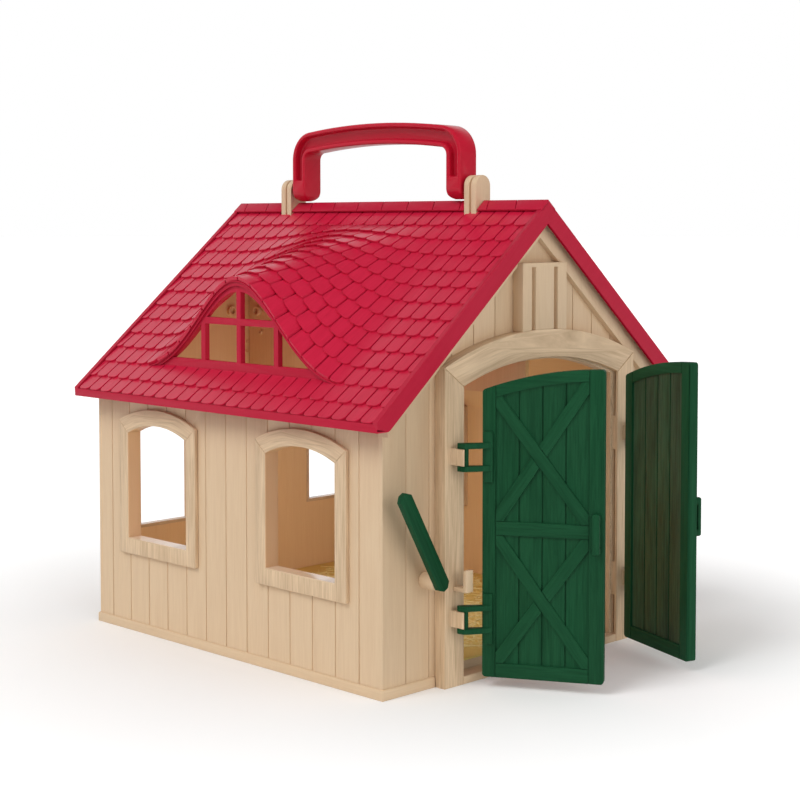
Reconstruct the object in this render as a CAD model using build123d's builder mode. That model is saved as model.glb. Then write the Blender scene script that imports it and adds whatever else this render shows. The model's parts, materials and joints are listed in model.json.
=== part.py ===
from build123d import *
from math import atan2, cos, degrees, radians, sin, sqrt, tan
import os

# A toy barn with two opening doors, a turning latch bar and a folding carry handle.
# The door gable faces -Y, the ridge runs along Y and the plinth stands on Z = 0.
# Every size is in millimetres.

# Plinth and floor
plinth_length = 220.0  # along the ridge
plinth_width = 209.4
plinth_height = 5.0
plinth_ledge = 0.9  # the plinth stands out past the walls
plinth_chamfer = 0.6
tray_rim = 4.2
tray_skin = 2.0
rib_thickness = 1.6
rib_pitch = 50.0
deck_rise = 2.5  # raised floor above the plinth
straw_thickness = 1.0
sill_height = 3.7
slip_gap = 0.3  # between pieces that drop into one another

# Walls with upright boards
eave_line = 137.76  # height of the roof's surface over the outer faces of the side walls
wall_thickness = 2.4
board_pitch = 15.9
board_shift = 1.5
gable_board_pitch = 15.0
gable_first_groove = 29.0
gable_groove_count = 5  # on each side of the doorway
groove_width = 0.7
groove_depth = 0.5

# Windows: two in each long wall and two in the back gable
window_half_width = 24.4
window_sill = 49.4
window_drop = 32.96  # spring of a window's arch, down from the eave line
window_rise = 5.3
window_spacing = 110.8
back_window_inset = 34.3  # middle of a back window, in from the side wall's outer face
casing_side = 7.6
casing_bottom = 8.4
casing_corner_rise = 6.5
casing_top = 8.3
casing_proud = 2.3
casing_depth = 8.4
lining_thickness = 1.8

# Doorway
doorway_half_width = 57.5
doorway_lift = 1.64  # spring of the doorway's arch, up from the eave line
doorway_rise = 10.5
architrave_width = 12.8
architrave_corner_rise = 9.2  # up from the doorway's spring
architrave_head = 13.3  # up from the doorway's apex
architrave_proud = 6.7
door_lining_depth = 2.0
stop_lip = 1.2
stop_groove_width = 1.6
stop_groove_depth = 1.0
stop_groove_margin = 8.5  # the groove stops this far above and below a hinge
mitre_groove = 0.5

# Loft shutter and rafter boards on the front gable
shutter_half_width = 16.3
shutter_drop = 30.5  # top of the shutter, down from the ridge
shutter_slot_width = 2.9
shutter_slot_place = 8.2
shutter_slot_depth = 4.2
shutter_slot_margin = 2.2
rafter_width = 9.6
rafter_proud = 3.3

# Roof
roof_pitch = 40.4  # degrees
eave_overhang = 11.955  # out from the side walls
fascia_depth = 8.9  # square to the slope
fascia_thickness = 1.6
eave_radius = 4.5
front_overhang = 7.5
back_overhang = 4.4
rim_width = 2.75
rim_drop = 0.45
roof_depth = 4.4  # underside of the tiled field, square to the slope
course_start = 5.75  # top of the first course, down the slope from the ridge line
course_count = 13
course_high = 1.0
course_low = 2.2
cap_width = 7.3
cap_thickness = 1.2

# Eyebrow dormer in the left slope
dormer_setback = 5.4  # edge of the hood, in from the side wall's outer face
dormer_back = 13.6  # where the hood runs out, from the ridge line
dormer_half_width = 80.0
dormer_height = 47.0
dormer_tail_height = 0.5
dormer_skin_top = 1.4  # top of the hood's skin, square to the slope
dormer_skin = 1.2
dormer_points = 12
dormer_sharpness = 1.8
glazing_recess = 2.0
glazing_depth = 2.8
glazing_bar = 3.3
glazing_edge = 0.6  # frame under the hood, at its feet
glazing_head = 5.0  # and at its crown
glazing_rail = 5.1
glazing_spacing = 28.1
glazing_crossbar = 25.3  # above the dormer's base line
glazing_reach = 66.0  # half the length of the dormer window's foot

# Doors: leaves hung on pins that stand in front of the architrave
hinge_offset = 5.9  # pin, out from the doorway's edge
hinge_stand = 6.7  # pin, in front of the architrave
left_door_angle = 60.5  # how far each door stands open
right_door_angle = 69.7
leaf_side_gap = 0.6
leaf_meeting_gap = 0.5
leaf_top_gap = 1.2
leaf_bottom = 5.3
leaf_face = 5.3  # outer face behind the pin
leaf_thickness = 4.75
leaf_corner = 1.6
leaf_relief = 1.0
leaf_meeting_bevel = 0.9
hinge_stile = 6.2
meeting_stile = 7.0
top_rail = 5.3
bottom_rail = 6.7
middle_rail = 6.4
middle_rail_height = 74.7
brace_width = 5.7
leaf_board_count = 4
leaf_groove_width = 0.6
leaf_groove_depth = 0.4
pull_width = 3.7
pull_height = 18.7
pull_stand = 3.8
pull_gap = 2.0
pull_post = 3.2
pull_edge_distance = 3.4
pull_place = 74.4

# Hinges: green straps and pins that snap into clips on the architrave
hinge_heights = (32.5, 107.6)
pin_radius = 1.2
pin_clearance = 0.1
knuckle_height = 7.6
arm_gap = 0.2
arm_thickness = 2.5
eye_radius = 2.4
arm_tail = 2.5
arm_tail_radius = 1.6
pad_height = 23.4
pad_width = 4.6
pad_thickness = 1.2
pad_inset = 0.4
clip_radius = 3.1
clip_lip = 0.6  # how far short of the pin's middle the open eye ends
clip_block = 4.6
clip_turn = 45.0  # degrees that the open side turns from straight ahead, into the doorway

# Latch bar, its boss and its hook
latch_offset = 6.9  # pivot, out from the architrave
latch_z = 51.2
latch_lean = 29.8  # degrees from upright
latch_length = 53.4
latch_width = 7.2
latch_thickness = 3.0
latch_tail = 3.6
latch_corner = 2.2
latch_back = 9.4  # back of the bar in front of the wall
boss_radius = 3.8
boss_gap = 0.2
stub_radius = 1.8
stub_length = 1.8
hook_offset = 7.3  # outer face, out from the doorway's edge
hook_width = 4.9
hook_wall = 2.1
hook_clearance = 0.45
hook_lip_rise = 8.3
hook_floor = 2.0

# Carry handle, its two brackets and pins
handle_centre = -1.3
handle_half_span = 63.6
handle_leg = 10.0
handle_width = 12.8
handle_rise = 34.0  # top of the grip, up from the pivot
handle_bar = 11.1
handle_arch = 4.7
handle_inner_arch = 3.4
handle_corner = 15.0
handle_inner_corner = 4.0
handle_foot_corner = 3.2
handle_foot_round = 5.8
handle_rim = 2.4
handle_recess = 4.2
pivot_rise = 7.1  # up from the ridge
leg_below_pivot = 6.6
bracket_gap = 1.9
bracket_slot_gap = 0.4  # round each bracket where it passes through the roof
bracket_ply = 3.5
bracket_groove = 1.2
bracket_groove_depth = 1.6
bracket_half_width = 5.5
bracket_drop = 26.1  # foot of a bracket, down from the ridge
handle_pin_radius = 2.5
handle_pin_fit = 0.05
handle_pin_in_leg = 6.0
handle_pin_in_bracket = 6.0

# Ridge panel: an upright board in the loft that carries the brackets
panel_thickness = 2.4
panel_drop = 7.76  # bottom of the panel, down from the eave line
screw_boss_radius = 4.0
screw_boss_height = 3.0
screw_hole_radius = 1.3
screw_head_radius = 2.4
screw_head_height = 1.2
screw_slot_width = 0.8
screw_slot_depth = 0.6
screw_length = 4.6
screw_spacing = 84.0
screw_drop = 56.1  # down from the ridge

# Worked-out places
pitch = radians(roof_pitch)
wall_x = plinth_width / 2 - plinth_ledge
wall_y = plinth_length / 2 - plinth_ledge
inner_x = wall_x - wall_thickness
inner_y = wall_y - wall_thickness
ridge_height = eave_line + tan(pitch) * wall_x
slope_length = (wall_x + eave_overhang) / cos(pitch)
deck_x = inner_x - slip_gap
deck_y = inner_y - slip_gap
deck_height = plinth_height + deck_rise
straw_top = deck_height + straw_thickness
window_spring = eave_line - window_drop
window_apex = window_spring + window_rise
back_window_place = wall_x - back_window_inset
doorway_spring = eave_line + doorway_lift
doorway_apex = doorway_spring + doorway_rise
architrave_corner = doorway_spring + architrave_corner_rise
architrave_apex = doorway_apex + architrave_head
architrave_front = -wall_y - architrave_proud
architrave_half_width = doorway_half_width + architrave_width
shutter_top = ridge_height - shutter_drop
hinge_x = doorway_half_width + hinge_offset
hinge_y = architrave_front - hinge_stand
latch_x = -architrave_half_width - latch_offset
hook_outer_x = -doorway_half_width - hook_offset
stop_y = hinge_y + leaf_face + leaf_thickness + slip_gap
lining_back = -inner_y + door_lining_depth
roof_front = -plinth_length / 2 - front_overhang
roof_back = plinth_length / 2 + back_overhang
roof_length = roof_back - roof_front
course_pitch = (slope_length - course_start) / course_count
dormer_front = wall_x - dormer_setback
dormer_base = ridge_height - dormer_skin_top / cos(pitch) - tan(pitch) * dormer_front
arch_radius = (doorway_half_width**2 + doorway_rise**2) / (2 * doorway_rise)
arch_centre = doorway_apex - arch_radius
leaf_start = hinge_x - doorway_half_width + leaf_side_gap  # from the pin to the hinge edge
leaf_end = hinge_x - leaf_meeting_gap
pivot_height = ridge_height + pivot_rise
handle_top = pivot_height + handle_rise
handle_front = handle_centre - handle_half_span
handle_back = handle_centre + handle_half_span
bracket_thickness = 2 * bracket_ply + bracket_groove
bracket_front = handle_front - bracket_gap - bracket_thickness / 2  # middle of each bracket
bracket_back = handle_back + bracket_gap + bracket_thickness / 2
bracket_slot = bracket_thickness + 2 * bracket_slot_gap
bracket_foot = ridge_height - bracket_drop
panel_bottom = eave_line - panel_drop
screw_place = ridge_height - screw_drop

os.makedirs("parts", exist_ok=True)


def save(piece, name):
    """Label a finished piece and write it as a node."""
    piece.label = name
    export_step(piece, f"parts/{name}.step")


def roof_line(depth, x):
    """Height of a line that lies a given depth under the roof's reference slope."""
    return ridge_height - depth / cos(pitch) - tan(pitch) * abs(x)


def outline(*points):
    """A straight-sided face through the given corners."""
    with BuildSketch() as face:
        with BuildLine():
            Polyline(*points, close=True)
        make_face()
    return face.sketch


def arch(half_width, bottom, spring, apex, margin=0.0):
    """A flat-bottomed opening with an arched head, grown by a margin on every side."""
    side = half_width + margin
    low = bottom - margin
    shoulder = spring + margin
    with BuildSketch() as face:
        with BuildLine():
            Polyline((-side, shoulder), (-side, low), (side, low), (side, shoulder))
            ThreePointArc((side, shoulder), (0, apex + margin), (-side, shoulder))
        make_face()
    return face.sketch


def wall_plane(facing, along=0.0, out=0.0):
    """Plane on a wall's outer face: x along the wall, y up, z out of the barn."""
    places = {
        "front": ((along, -wall_y - out, 0), (1, 0, 0), (0, -1, 0)),
        "back": ((along, wall_y + out, 0), (-1, 0, 0), (0, 1, 0)),
        "left": ((-wall_x - out, along, 0), (0, -1, 0), (-1, 0, 0)),
        "right": ((wall_x + out, along, 0), (0, 1, 0), (1, 0, 0)),
    }
    origin, x_dir, z_dir = places[facing]
    return Plane(origin=origin, x_dir=x_dir, z_dir=z_dir)


def cut_board_grooves(facing, places):
    """Upright grooves that divide a wall's outer face into boards."""
    with BuildSketch(*[wall_plane(facing, place) for place in places]) as grooves:
        Rectangle(groove_width, 2 * ridge_height)
    extrude(grooves.sketch, amount=-groove_depth, mode=Mode.SUBTRACT)


def cut_window_holes(facing, places):
    """Holes in a wall for the linings of its windows."""
    with BuildSketch(*[wall_plane(facing, place) for place in places]) as holes:
        add(arch(window_half_width, window_sill, window_spring, window_apex, lining_thickness))
    extrude(holes.sketch, amount=-wall_thickness, mode=Mode.SUBTRACT)


# ---------------------------------------------------------------- plinth and floor

sill_half_width = doorway_half_width - slip_gap
sill_length = -architrave_front - deck_y
sill_middle = -deck_y - sill_length / 2

with BuildPart() as base_tray:
    with BuildSketch():
        Rectangle(plinth_width, plinth_length)
    extrude(amount=plinth_height)
    chamfer(base_tray.faces().sort_by(Axis.Z)[-1].edges(), length=plinth_chamfer)
    with BuildSketch():
        Rectangle(2 * deck_x, 2 * deck_y)
    extrude(amount=deck_height)
    # the doorway's sill runs forward between the feet of the architrave
    with BuildSketch(Plane.XY.offset(sill_height)):
        with Locations((0, sill_middle)):
            Rectangle(2 * sill_half_width, sill_length)
    extrude(amount=deck_height, mode=Mode.SUBTRACT)
    with BuildSketch():
        with Locations((0, sill_middle)):
            Rectangle(2 * sill_half_width, sill_length)
    extrude(amount=sill_height)
    # notches in the plinth for those feet
    foot_middle = (doorway_half_width + architrave_half_width) / 2
    with BuildSketch():
        with Locations((-foot_middle, -plinth_length / 2), (foot_middle, -plinth_length / 2)):
            Rectangle(architrave_width + 2 * slip_gap, 2 * (plinth_ledge + slip_gap))
    extrude(amount=plinth_height, mode=Mode.SUBTRACT)
    # hollow underneath, with ribs both ways
    with BuildSketch():
        Rectangle(2 * (deck_x - tray_rim), 2 * (deck_y - tray_rim))
        with GridLocations(rib_pitch, 1, 3, 1):
            Rectangle(rib_thickness, plinth_length, mode=Mode.SUBTRACT)
        with GridLocations(1, rib_pitch, 1, 3):
            Rectangle(plinth_width, rib_thickness, mode=Mode.SUBTRACT)
    extrude(amount=deck_height - tray_skin, mode=Mode.SUBTRACT)
save(base_tray.part, "base_tray")

with BuildPart() as straw_floor:
    with BuildSketch(Plane.XY.offset(deck_height)):
        Rectangle(2 * deck_x, 2 * deck_y)
    extrude(amount=straw_thickness)
save(straw_floor.part, "straw_floor")

# ---------------------------------------------------------------- walls

side_board_reach = int(inner_y / board_pitch)
side_grooves = [board_shift + i * board_pitch for i in range(-side_board_reach, side_board_reach + 1)]
side_windows = {"front": -window_spacing / 2, "back": window_spacing / 2}

for facing, side in (("left", -1), ("right", 1)):
    with BuildPart() as wall:
        with BuildSketch(Plane.XZ.offset(-inner_y)):
            add(
                outline(
                    (side * wall_x, plinth_height),
                    (side * wall_x, roof_line(roof_depth, wall_x)),
                    (side * inner_x, roof_line(roof_depth, inner_x)),
                    (side * inner_x, plinth_height),
                )
            )
        extrude(amount=2 * inner_y)
        cut_window_holes(facing, side_windows.values())
        cut_board_grooves(facing, side_grooves)
    save(wall.part, f"{facing}_wall")

gable_grooves = [
    side * (gable_first_groove + i * gable_board_pitch)
    for i in range(gable_groove_count)
    for side in (-1, 1)
]
gable_corners = (
    (-wall_x, plinth_height),
    (wall_x, plinth_height),
    (wall_x, roof_line(roof_depth, wall_x)),
    (0, roof_line(roof_depth, 0)),
    (-wall_x, roof_line(roof_depth, wall_x)),
)

with BuildPart() as front_gable:
    with BuildSketch(wall_plane("front")):
        add(outline(*gable_corners))
        add(
            arch(doorway_half_width, plinth_height, doorway_spring, doorway_apex, door_lining_depth),
            mode=Mode.SUBTRACT,
        )
    extrude(amount=-wall_thickness)
    cut_board_grooves("front", gable_grooves)
    # raised rafter boards under the roof, cut away round the shutter and the architrave
    with BuildSketch(wall_plane("front", out=-groove_depth)):
        add(
            outline(
                (-wall_x, roof_line(roof_depth, wall_x)),
                (0, roof_line(roof_depth, 0)),
                (wall_x, roof_line(roof_depth, wall_x)),
                (wall_x, roof_line(roof_depth + rafter_width, wall_x)),
                (0, roof_line(roof_depth + rafter_width, 0)),
                (-wall_x, roof_line(roof_depth + rafter_width, wall_x)),
            )
        )
        with Locations((0, shutter_top / 2)):
            Rectangle(2 * shutter_half_width, shutter_top, mode=Mode.SUBTRACT)
        add(arch(architrave_half_width, 0, architrave_corner, architrave_apex), mode=Mode.SUBTRACT)
    extrude(amount=rafter_proud + groove_depth)
save(front_gable.part, "front_gable")

back_windows = {"left": -back_window_place, "right": back_window_place}
with BuildPart() as back_gable:
    with BuildSketch(wall_plane("back")):
        add(outline(*gable_corners))
    extrude(amount=-wall_thickness)
    cut_window_holes("back", back_windows.values())
    cut_board_grooves("back", gable_grooves)
save(back_gable.part, "back_gable")

# ---------------------------------------------------------------- window frames


def window_frame(facing, place):
    """Arched casing on the outside of a wall and the lining that passes through it."""
    with BuildPart() as frame:
        with BuildSketch(wall_plane(facing, place)):
            add(
                arch(
                    window_half_width + casing_side,
                    window_sill - casing_bottom,
                    window_spring + casing_corner_rise,
                    window_apex + casing_top,
                )
            )
        extrude(amount=casing_proud)
        with BuildSketch(wall_plane(facing, place)):
            add(arch(window_half_width, window_sill, window_spring, window_apex, lining_thickness))
        extrude(amount=casing_proud - casing_depth)
        with BuildSketch(wall_plane(facing, place, casing_proud)):
            add(arch(window_half_width, window_sill, window_spring, window_apex))
        extrude(amount=-casing_depth, mode=Mode.SUBTRACT)
    return frame.part


for end, place in side_windows.items():
    for facing in ("left", "right"):
        save(window_frame(facing, place), f"{facing}_window_{end}")
for side_name, place in back_windows.items():
    save(window_frame("back", place), f"back_window_{side_name}")

# ---------------------------------------------------------------- door frame


def clip_face(hand):
    """Plan of one hinge clip: a block on the architrave with a half-open eye for the pin."""
    web = architrave_front - hinge_y
    open_side = Align.MIN if hand > 0 else Align.MAX
    with BuildSketch() as face:
        with Locations((-hand * hinge_x, hinge_y)):
            Circle(clip_radius)
        with Locations((-hand * (hinge_x + (clip_block - clip_radius) / 2), hinge_y + web / 2)):
            Rectangle(clip_block, web)
        with Locations((-hand * hinge_x, hinge_y)):
            Circle(pin_radius + pin_clearance, mode=Mode.SUBTRACT)
        with Locations((-hand * (hinge_x + clip_lip), hinge_y + clip_lip)):
            Rectangle(
                2 * clip_block,
                2 * clip_block,
                rotation=-hand * clip_turn,
                align=(open_side, Align.CENTER),
                mode=Mode.SUBTRACT,
            )
    return face.sketch


groove_ends = [sill_height]
for height in hinge_heights:
    groove_ends += [height - stop_groove_margin, height + stop_groove_margin]
groove_ends.append(doorway_spring)

with BuildPart() as door_frame:
    # architrave on the wall, and the lining that passes through it
    with BuildSketch(wall_plane("front")):
        add(arch(architrave_half_width, 0, architrave_corner, architrave_apex))
    extrude(amount=architrave_proud)
    lining_low = plinth_height + door_lining_depth
    with BuildSketch(wall_plane("front")):
        add(arch(doorway_half_width, lining_low, doorway_spring, doorway_apex, door_lining_depth))
    extrude(amount=-wall_y - lining_back)
    # doorway, narrower behind the stop that the doors close against
    with BuildSketch(wall_plane("front", out=architrave_proud)):
        add(arch(doorway_half_width, -plinth_height, doorway_spring, doorway_apex))
    extrude(amount=architrave_front - stop_y, mode=Mode.SUBTRACT)
    with BuildSketch(wall_plane("front", out=architrave_proud)):
        add(arch(doorway_half_width, -plinth_height, doorway_spring, doorway_apex, -stop_lip))
    extrude(amount=architrave_front - lining_back, mode=Mode.SUBTRACT)
    # room for the sill, and for the deck and its straw behind it
    with BuildSketch():
        with Locations((0, architrave_front / 2)):
            Rectangle(2 * doorway_half_width, -architrave_front)
    extrude(amount=sill_height, mode=Mode.SUBTRACT)
    with BuildSketch():
        Rectangle(2 * inner_x, 2 * inner_y)
    extrude(amount=straw_top + slip_gap, mode=Mode.SUBTRACT)
    # grooves down the jambs in front of the stop, broken at the hinges
    for low, high in zip(groove_ends[::2], groove_ends[1::2]):
        with BuildSketch(Plane.XY.offset(low)):
            with Locations((0, stop_y - slip_gap - stop_groove_width / 2)):
                Rectangle(2 * (doorway_half_width + stop_groove_depth), stop_groove_width)
        extrude(amount=high - low, mode=Mode.SUBTRACT)
    # mitres between the jambs and the head
    with BuildSketch(wall_plane("front", out=architrave_proud)):
        for hand in (-1, 1):
            add(
                outline(
                    (hand * doorway_half_width, doorway_spring),
                    (hand * architrave_half_width, architrave_corner),
                    (hand * architrave_half_width, architrave_corner - mitre_groove),
                    (hand * doorway_half_width, doorway_spring - mitre_groove),
                )
            )
    extrude(amount=-mitre_groove, mode=Mode.SUBTRACT)
    # clips for the hinge pins
    for height in hinge_heights:
        with BuildSketch(Plane.XY.offset(height - knuckle_height / 2)):
            add(clip_face(1))
            add(clip_face(-1))
        extrude(amount=knuckle_height)
save(door_frame.part, "door_frame")

with BuildPart() as latch_hook:
    hook_seat = latch_z - latch_width / 2 - hook_clearance
    hook_throat = -wall_y - latch_back - latch_thickness - hook_clearance
    hook_front = hook_throat - hook_wall
    with BuildSketch(Plane.YZ.offset(hook_outer_x)):
        add(
            outline(
                (architrave_front, hook_seat),
                (hook_throat, hook_seat),
                (hook_throat, hook_seat + hook_lip_rise),
                (hook_front, hook_seat + hook_lip_rise),
                (hook_front, hook_seat - hook_floor),
                (architrave_front, hook_seat - hook_floor),
            )
        )
    extrude(amount=hook_width)
save(latch_hook.part, "latch_hook")

with BuildPart() as loft_shutter:
    slot_top = shutter_top - shutter_slot_margin
    with BuildSketch(wall_plane("front")):
        with Locations((0, shutter_top / 2)):
            Rectangle(2 * shutter_half_width, shutter_top)
        add(arch(architrave_half_width, 0, architrave_corner, architrave_apex), mode=Mode.SUBTRACT)
    extrude(amount=architrave_proud)
    with BuildSketch(wall_plane("front", out=architrave_proud)):
        with Locations((-shutter_slot_place, slot_top), (shutter_slot_place, slot_top)):
            Rectangle(shutter_slot_width, shutter_top, align=(Align.CENTER, Align.MAX))
    extrude(amount=-shutter_slot_depth, mode=Mode.SUBTRACT)
save(loft_shutter.part, "loft_shutter")

# ---------------------------------------------------------------- roof


def slope_plane(side, along=0.0):
    """Plane across a slope: x down the slope from the ridge line, y out of the roof."""
    start = roof_front if side < 0 else roof_back
    return Plane(
        origin=(0, start - side * along, ridge_height),
        x_dir=(side * cos(pitch), 0, -sin(pitch)),
        z_dir=(0, -side, 0),
    )


def course_profile():
    """The space above the tiles: each course is thickest at its lower edge."""
    points = [(0, fascia_depth), (0, -cap_thickness), (course_start, -cap_thickness)]
    for i in range(course_count):
        top = course_start + i * course_pitch
        points += [(top, -course_low), (top + course_pitch, -course_high)]
    points.append((slope_length, fascia_depth))
    return outline(*points)


def roof_slope(side):
    """One slope: tiled field, rims along the gables, fascias and bracket slots."""
    with BuildPart() as slope:
        with BuildSketch(slope_plane(side)):
            with Locations((slope_length / 2, -(fascia_depth + rim_drop) / 2)):
                Rectangle(slope_length, fascia_depth - rim_drop)
            eave_corner = vertices().sort_by(Axis.Y)[:2].sort_by(Axis.X)[-1]
            fillet(eave_corner, radius=eave_radius)
        extrude(amount=roof_length)
        with BuildSketch(slope_plane(side, rim_width)):
            add(course_profile())
        extrude(amount=roof_length - 2 * rim_width, mode=Mode.SUBTRACT)
        with BuildSketch(slope_plane(side)):
            with Locations((0, -cap_thickness)):
                Rectangle(2 * cap_width, 2 * fascia_depth, align=(Align.CENTER, Align.MIN))
        extrude(amount=roof_length, mode=Mode.SUBTRACT)
        # hollow underneath, up to the solid nosing of the eave
        with BuildSketch(slope_plane(side, fascia_thickness)):
            with Locations((slope_length - eave_radius, -roof_depth)):
                Rectangle(2 * slope_length, 2 * fascia_depth, align=Align.MAX)
        extrude(amount=roof_length - 2 * fascia_thickness, mode=Mode.SUBTRACT)
        split(bisect_by=Plane.YZ, keep=Keep.TOP if side > 0 else Keep.BOTTOM)
        with BuildSketch(Plane.XY.offset(bracket_foot)):
            with Locations((0, bracket_front), (0, bracket_back)):
                Rectangle(2 * (bracket_half_width + bracket_slot_gap), bracket_slot)
        extrude(amount=ridge_height, mode=Mode.SUBTRACT)
    return slope.part


def bell(t):
    """Outline of the eyebrow dormer: 1 in the middle, running out level at -1 and 1."""
    return (1 - t**2) ** 2 / (1 + dormer_sharpness * t**2)


def dormer_plane(out):
    """Upright plane along the ridge: x along the roof, y up, z out from the ridge."""
    return Plane(origin=(-out, 0, 0), x_dir=(0, -1, 0), z_dir=(-1, 0, 0))


def dormer_curve(base, height, reach=dormer_half_width):
    """Points of the bell from one end to the other over a base line."""
    steps = [i / dormer_points for i in range(-dormer_points, dormer_points + 1)]
    return [(step * reach, base + height * bell(step * reach / dormer_half_width)) for step in steps]


def hood_section(out, height):
    """Section of the dormer's hood at a distance out from the ridge line."""
    top = dormer_curve(roof_line(dormer_skin_top, out), height)
    bottom = dormer_curve(roof_line(dormer_skin_top + dormer_skin, out), height)
    with BuildSketch() as face:
        with BuildLine():
            Spline(*top, tangents=((1, 0), (1, 0)))
            Line(top[-1], bottom[-1])
            Spline(*bottom[::-1], tangents=((-1, 0), (-1, 0)))
            Line(bottom[0], top[0])
        make_face()
    return face.sketch


with BuildPart() as roof_left:
    add(roof_slope(-1))
    with BuildSketch():
        with Locations((-(dormer_front + dormer_back) / 2, 0)):
            Rectangle(dormer_front - dormer_back, 2 * dormer_half_width)
    extrude(amount=2 * ridge_height, mode=Mode.SUBTRACT)
    with BuildSketch(dormer_plane(dormer_front)):
        add(hood_section(dormer_front, dormer_height))
    with BuildSketch(dormer_plane(dormer_back)):
        add(hood_section(dormer_back, dormer_tail_height))
    loft(ruled=True)
save(roof_left.part, "roof_left")
save(roof_slope(1), "roof_right")

cap_stretches = {
    "front": (roof_front, bracket_front - bracket_slot / 2),
    "middle": (bracket_front + bracket_slot / 2, bracket_back - bracket_slot / 2),
    "back": (bracket_back + bracket_slot / 2, roof_back),
}
cap_edge = cap_width * cos(pitch)
cap_inner_edge = cap_edge - cap_thickness * sin(pitch)
for name, (start, end) in cap_stretches.items():
    with BuildPart() as ridge_cap:
        with BuildSketch(Plane.XZ.offset(-end)):
            add(
                outline(
                    (0, ridge_height),
                    (cap_edge, roof_line(0, cap_edge)),
                    (cap_inner_edge, roof_line(cap_thickness, cap_inner_edge)),
                    (0, roof_line(cap_thickness, 0)),
                    (-cap_inner_edge, roof_line(cap_thickness, cap_inner_edge)),
                    (-cap_edge, roof_line(0, cap_edge)),
                )
            )
        extrude(amount=end - start)
    save(ridge_cap.part, f"ridge_cap_{name}")

# ---------------------------------------------------------------- dormer window

glazing_out = dormer_front - glazing_recess
glazing_foot = roof_line(dormer_skin_top + dormer_skin, dormer_front)
glazing_bottom = roof_line(roof_depth, dormer_front)
glazing_sill = dormer_base + glazing_rail
glazing_feet = ((glazing_reach, glazing_bottom), (-glazing_reach, glazing_bottom))
with BuildPart() as dormer_window:
    frame_curve = dormer_curve(glazing_foot, dormer_height, glazing_reach)
    with BuildSketch(dormer_plane(glazing_out)):
        with BuildLine():
            Spline(*frame_curve)
            Polyline(frame_curve[-1], *glazing_feet, frame_curve[0])
        make_face()
    extrude(amount=-glazing_depth)
    pane_height = dormer_height - glazing_head + glazing_edge
    pane_curve = dormer_curve(glazing_foot - glazing_edge, pane_height, glazing_reach)
    with BuildSketch(dormer_plane(glazing_out)):
        with BuildLine():
            Spline(*pane_curve)
            Line(pane_curve[-1], pane_curve[0])
        make_face()
        with Locations((0, glazing_sill - dormer_height / 2)):
            Rectangle(2 * glazing_reach, dormer_height, mode=Mode.SUBTRACT)
        with GridLocations(glazing_spacing, 1, 3, 1):
            Rectangle(glazing_bar, 2 * ridge_height, mode=Mode.SUBTRACT)
        with Locations((0, dormer_base + glazing_crossbar)):
            Rectangle(2 * glazing_spacing, glazing_bar, mode=Mode.SUBTRACT)
    extrude(amount=-glazing_depth, mode=Mode.SUBTRACT)
save(dormer_window.part, "dormer_window")

# ---------------------------------------------------------------- ridge panel and brackets

panel_top = roof_line(roof_depth, panel_thickness / 2)
screw_places = {"front": -screw_spacing / 2, "back": screw_spacing / 2}

with BuildPart() as ridge_panel:
    with BuildSketch(Plane.YZ.offset(-panel_thickness / 2)):
        with Locations((0, (panel_top + panel_bottom) / 2)):
            Rectangle(2 * deck_y, panel_top - panel_bottom)
        with Locations((bracket_front, bracket_foot), (bracket_back, bracket_foot)):
            Rectangle(bracket_slot, ridge_height, align=(Align.CENTER, Align.MIN), mode=Mode.SUBTRACT)
        # the lower front corner is cut away behind the lining of the doorway
        with Locations((lining_back + slip_gap, doorway_apex + door_lining_depth + slip_gap)):
            Rectangle(plinth_length, plinth_length, align=Align.MAX, mode=Mode.SUBTRACT)
    extrude(amount=panel_thickness)
    with BuildSketch(Plane.YZ.offset(-panel_thickness / 2)):
        with Locations(*[(place, screw_place) for place in screw_places.values()]):
            Circle(screw_boss_radius)
    extrude(amount=-screw_boss_height)
    with BuildSketch(Plane.YZ.offset(-panel_thickness / 2 - screw_boss_height)):
        with Locations(*[(place, screw_place) for place in screw_places.values()]):
            Circle(screw_hole_radius)
    extrude(amount=screw_boss_height + panel_thickness, mode=Mode.SUBTRACT)
save(ridge_panel.part, "ridge_panel")

for end, place in screw_places.items():
    head_back = Plane.YZ.offset(-panel_thickness / 2 - screw_boss_height)
    with BuildPart() as panel_screw:
        with BuildSketch(head_back):
            with Locations((place, screw_place)):
                Circle(screw_head_radius)
        extrude(amount=-screw_head_height)
        fillet(panel_screw.edges().sort_by(Axis.X)[0], radius=screw_head_height / 2)
        with BuildSketch(head_back):
            with Locations((place, screw_place)):
                Circle(screw_hole_radius - handle_pin_fit)
        extrude(amount=screw_length)
        with BuildSketch(head_back.offset(-screw_head_height)):
            with Locations((place, screw_place)):
                Rectangle(2 * screw_head_radius, screw_slot_width)
        extrude(amount=screw_slot_depth, mode=Mode.SUBTRACT)
    save(panel_screw.part, f"{end}_panel_screw")


def bracket_profile(half_width):
    """Upright tongue with its round top about the pivot."""
    with BuildSketch() as face:
        with Locations((0, bracket_foot)):
            Rectangle(2 * half_width, pivot_height - bracket_foot, align=(Align.CENTER, Align.MIN))
        with Locations((0, pivot_height)):
            Circle(half_width)
    return face.sketch


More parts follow.
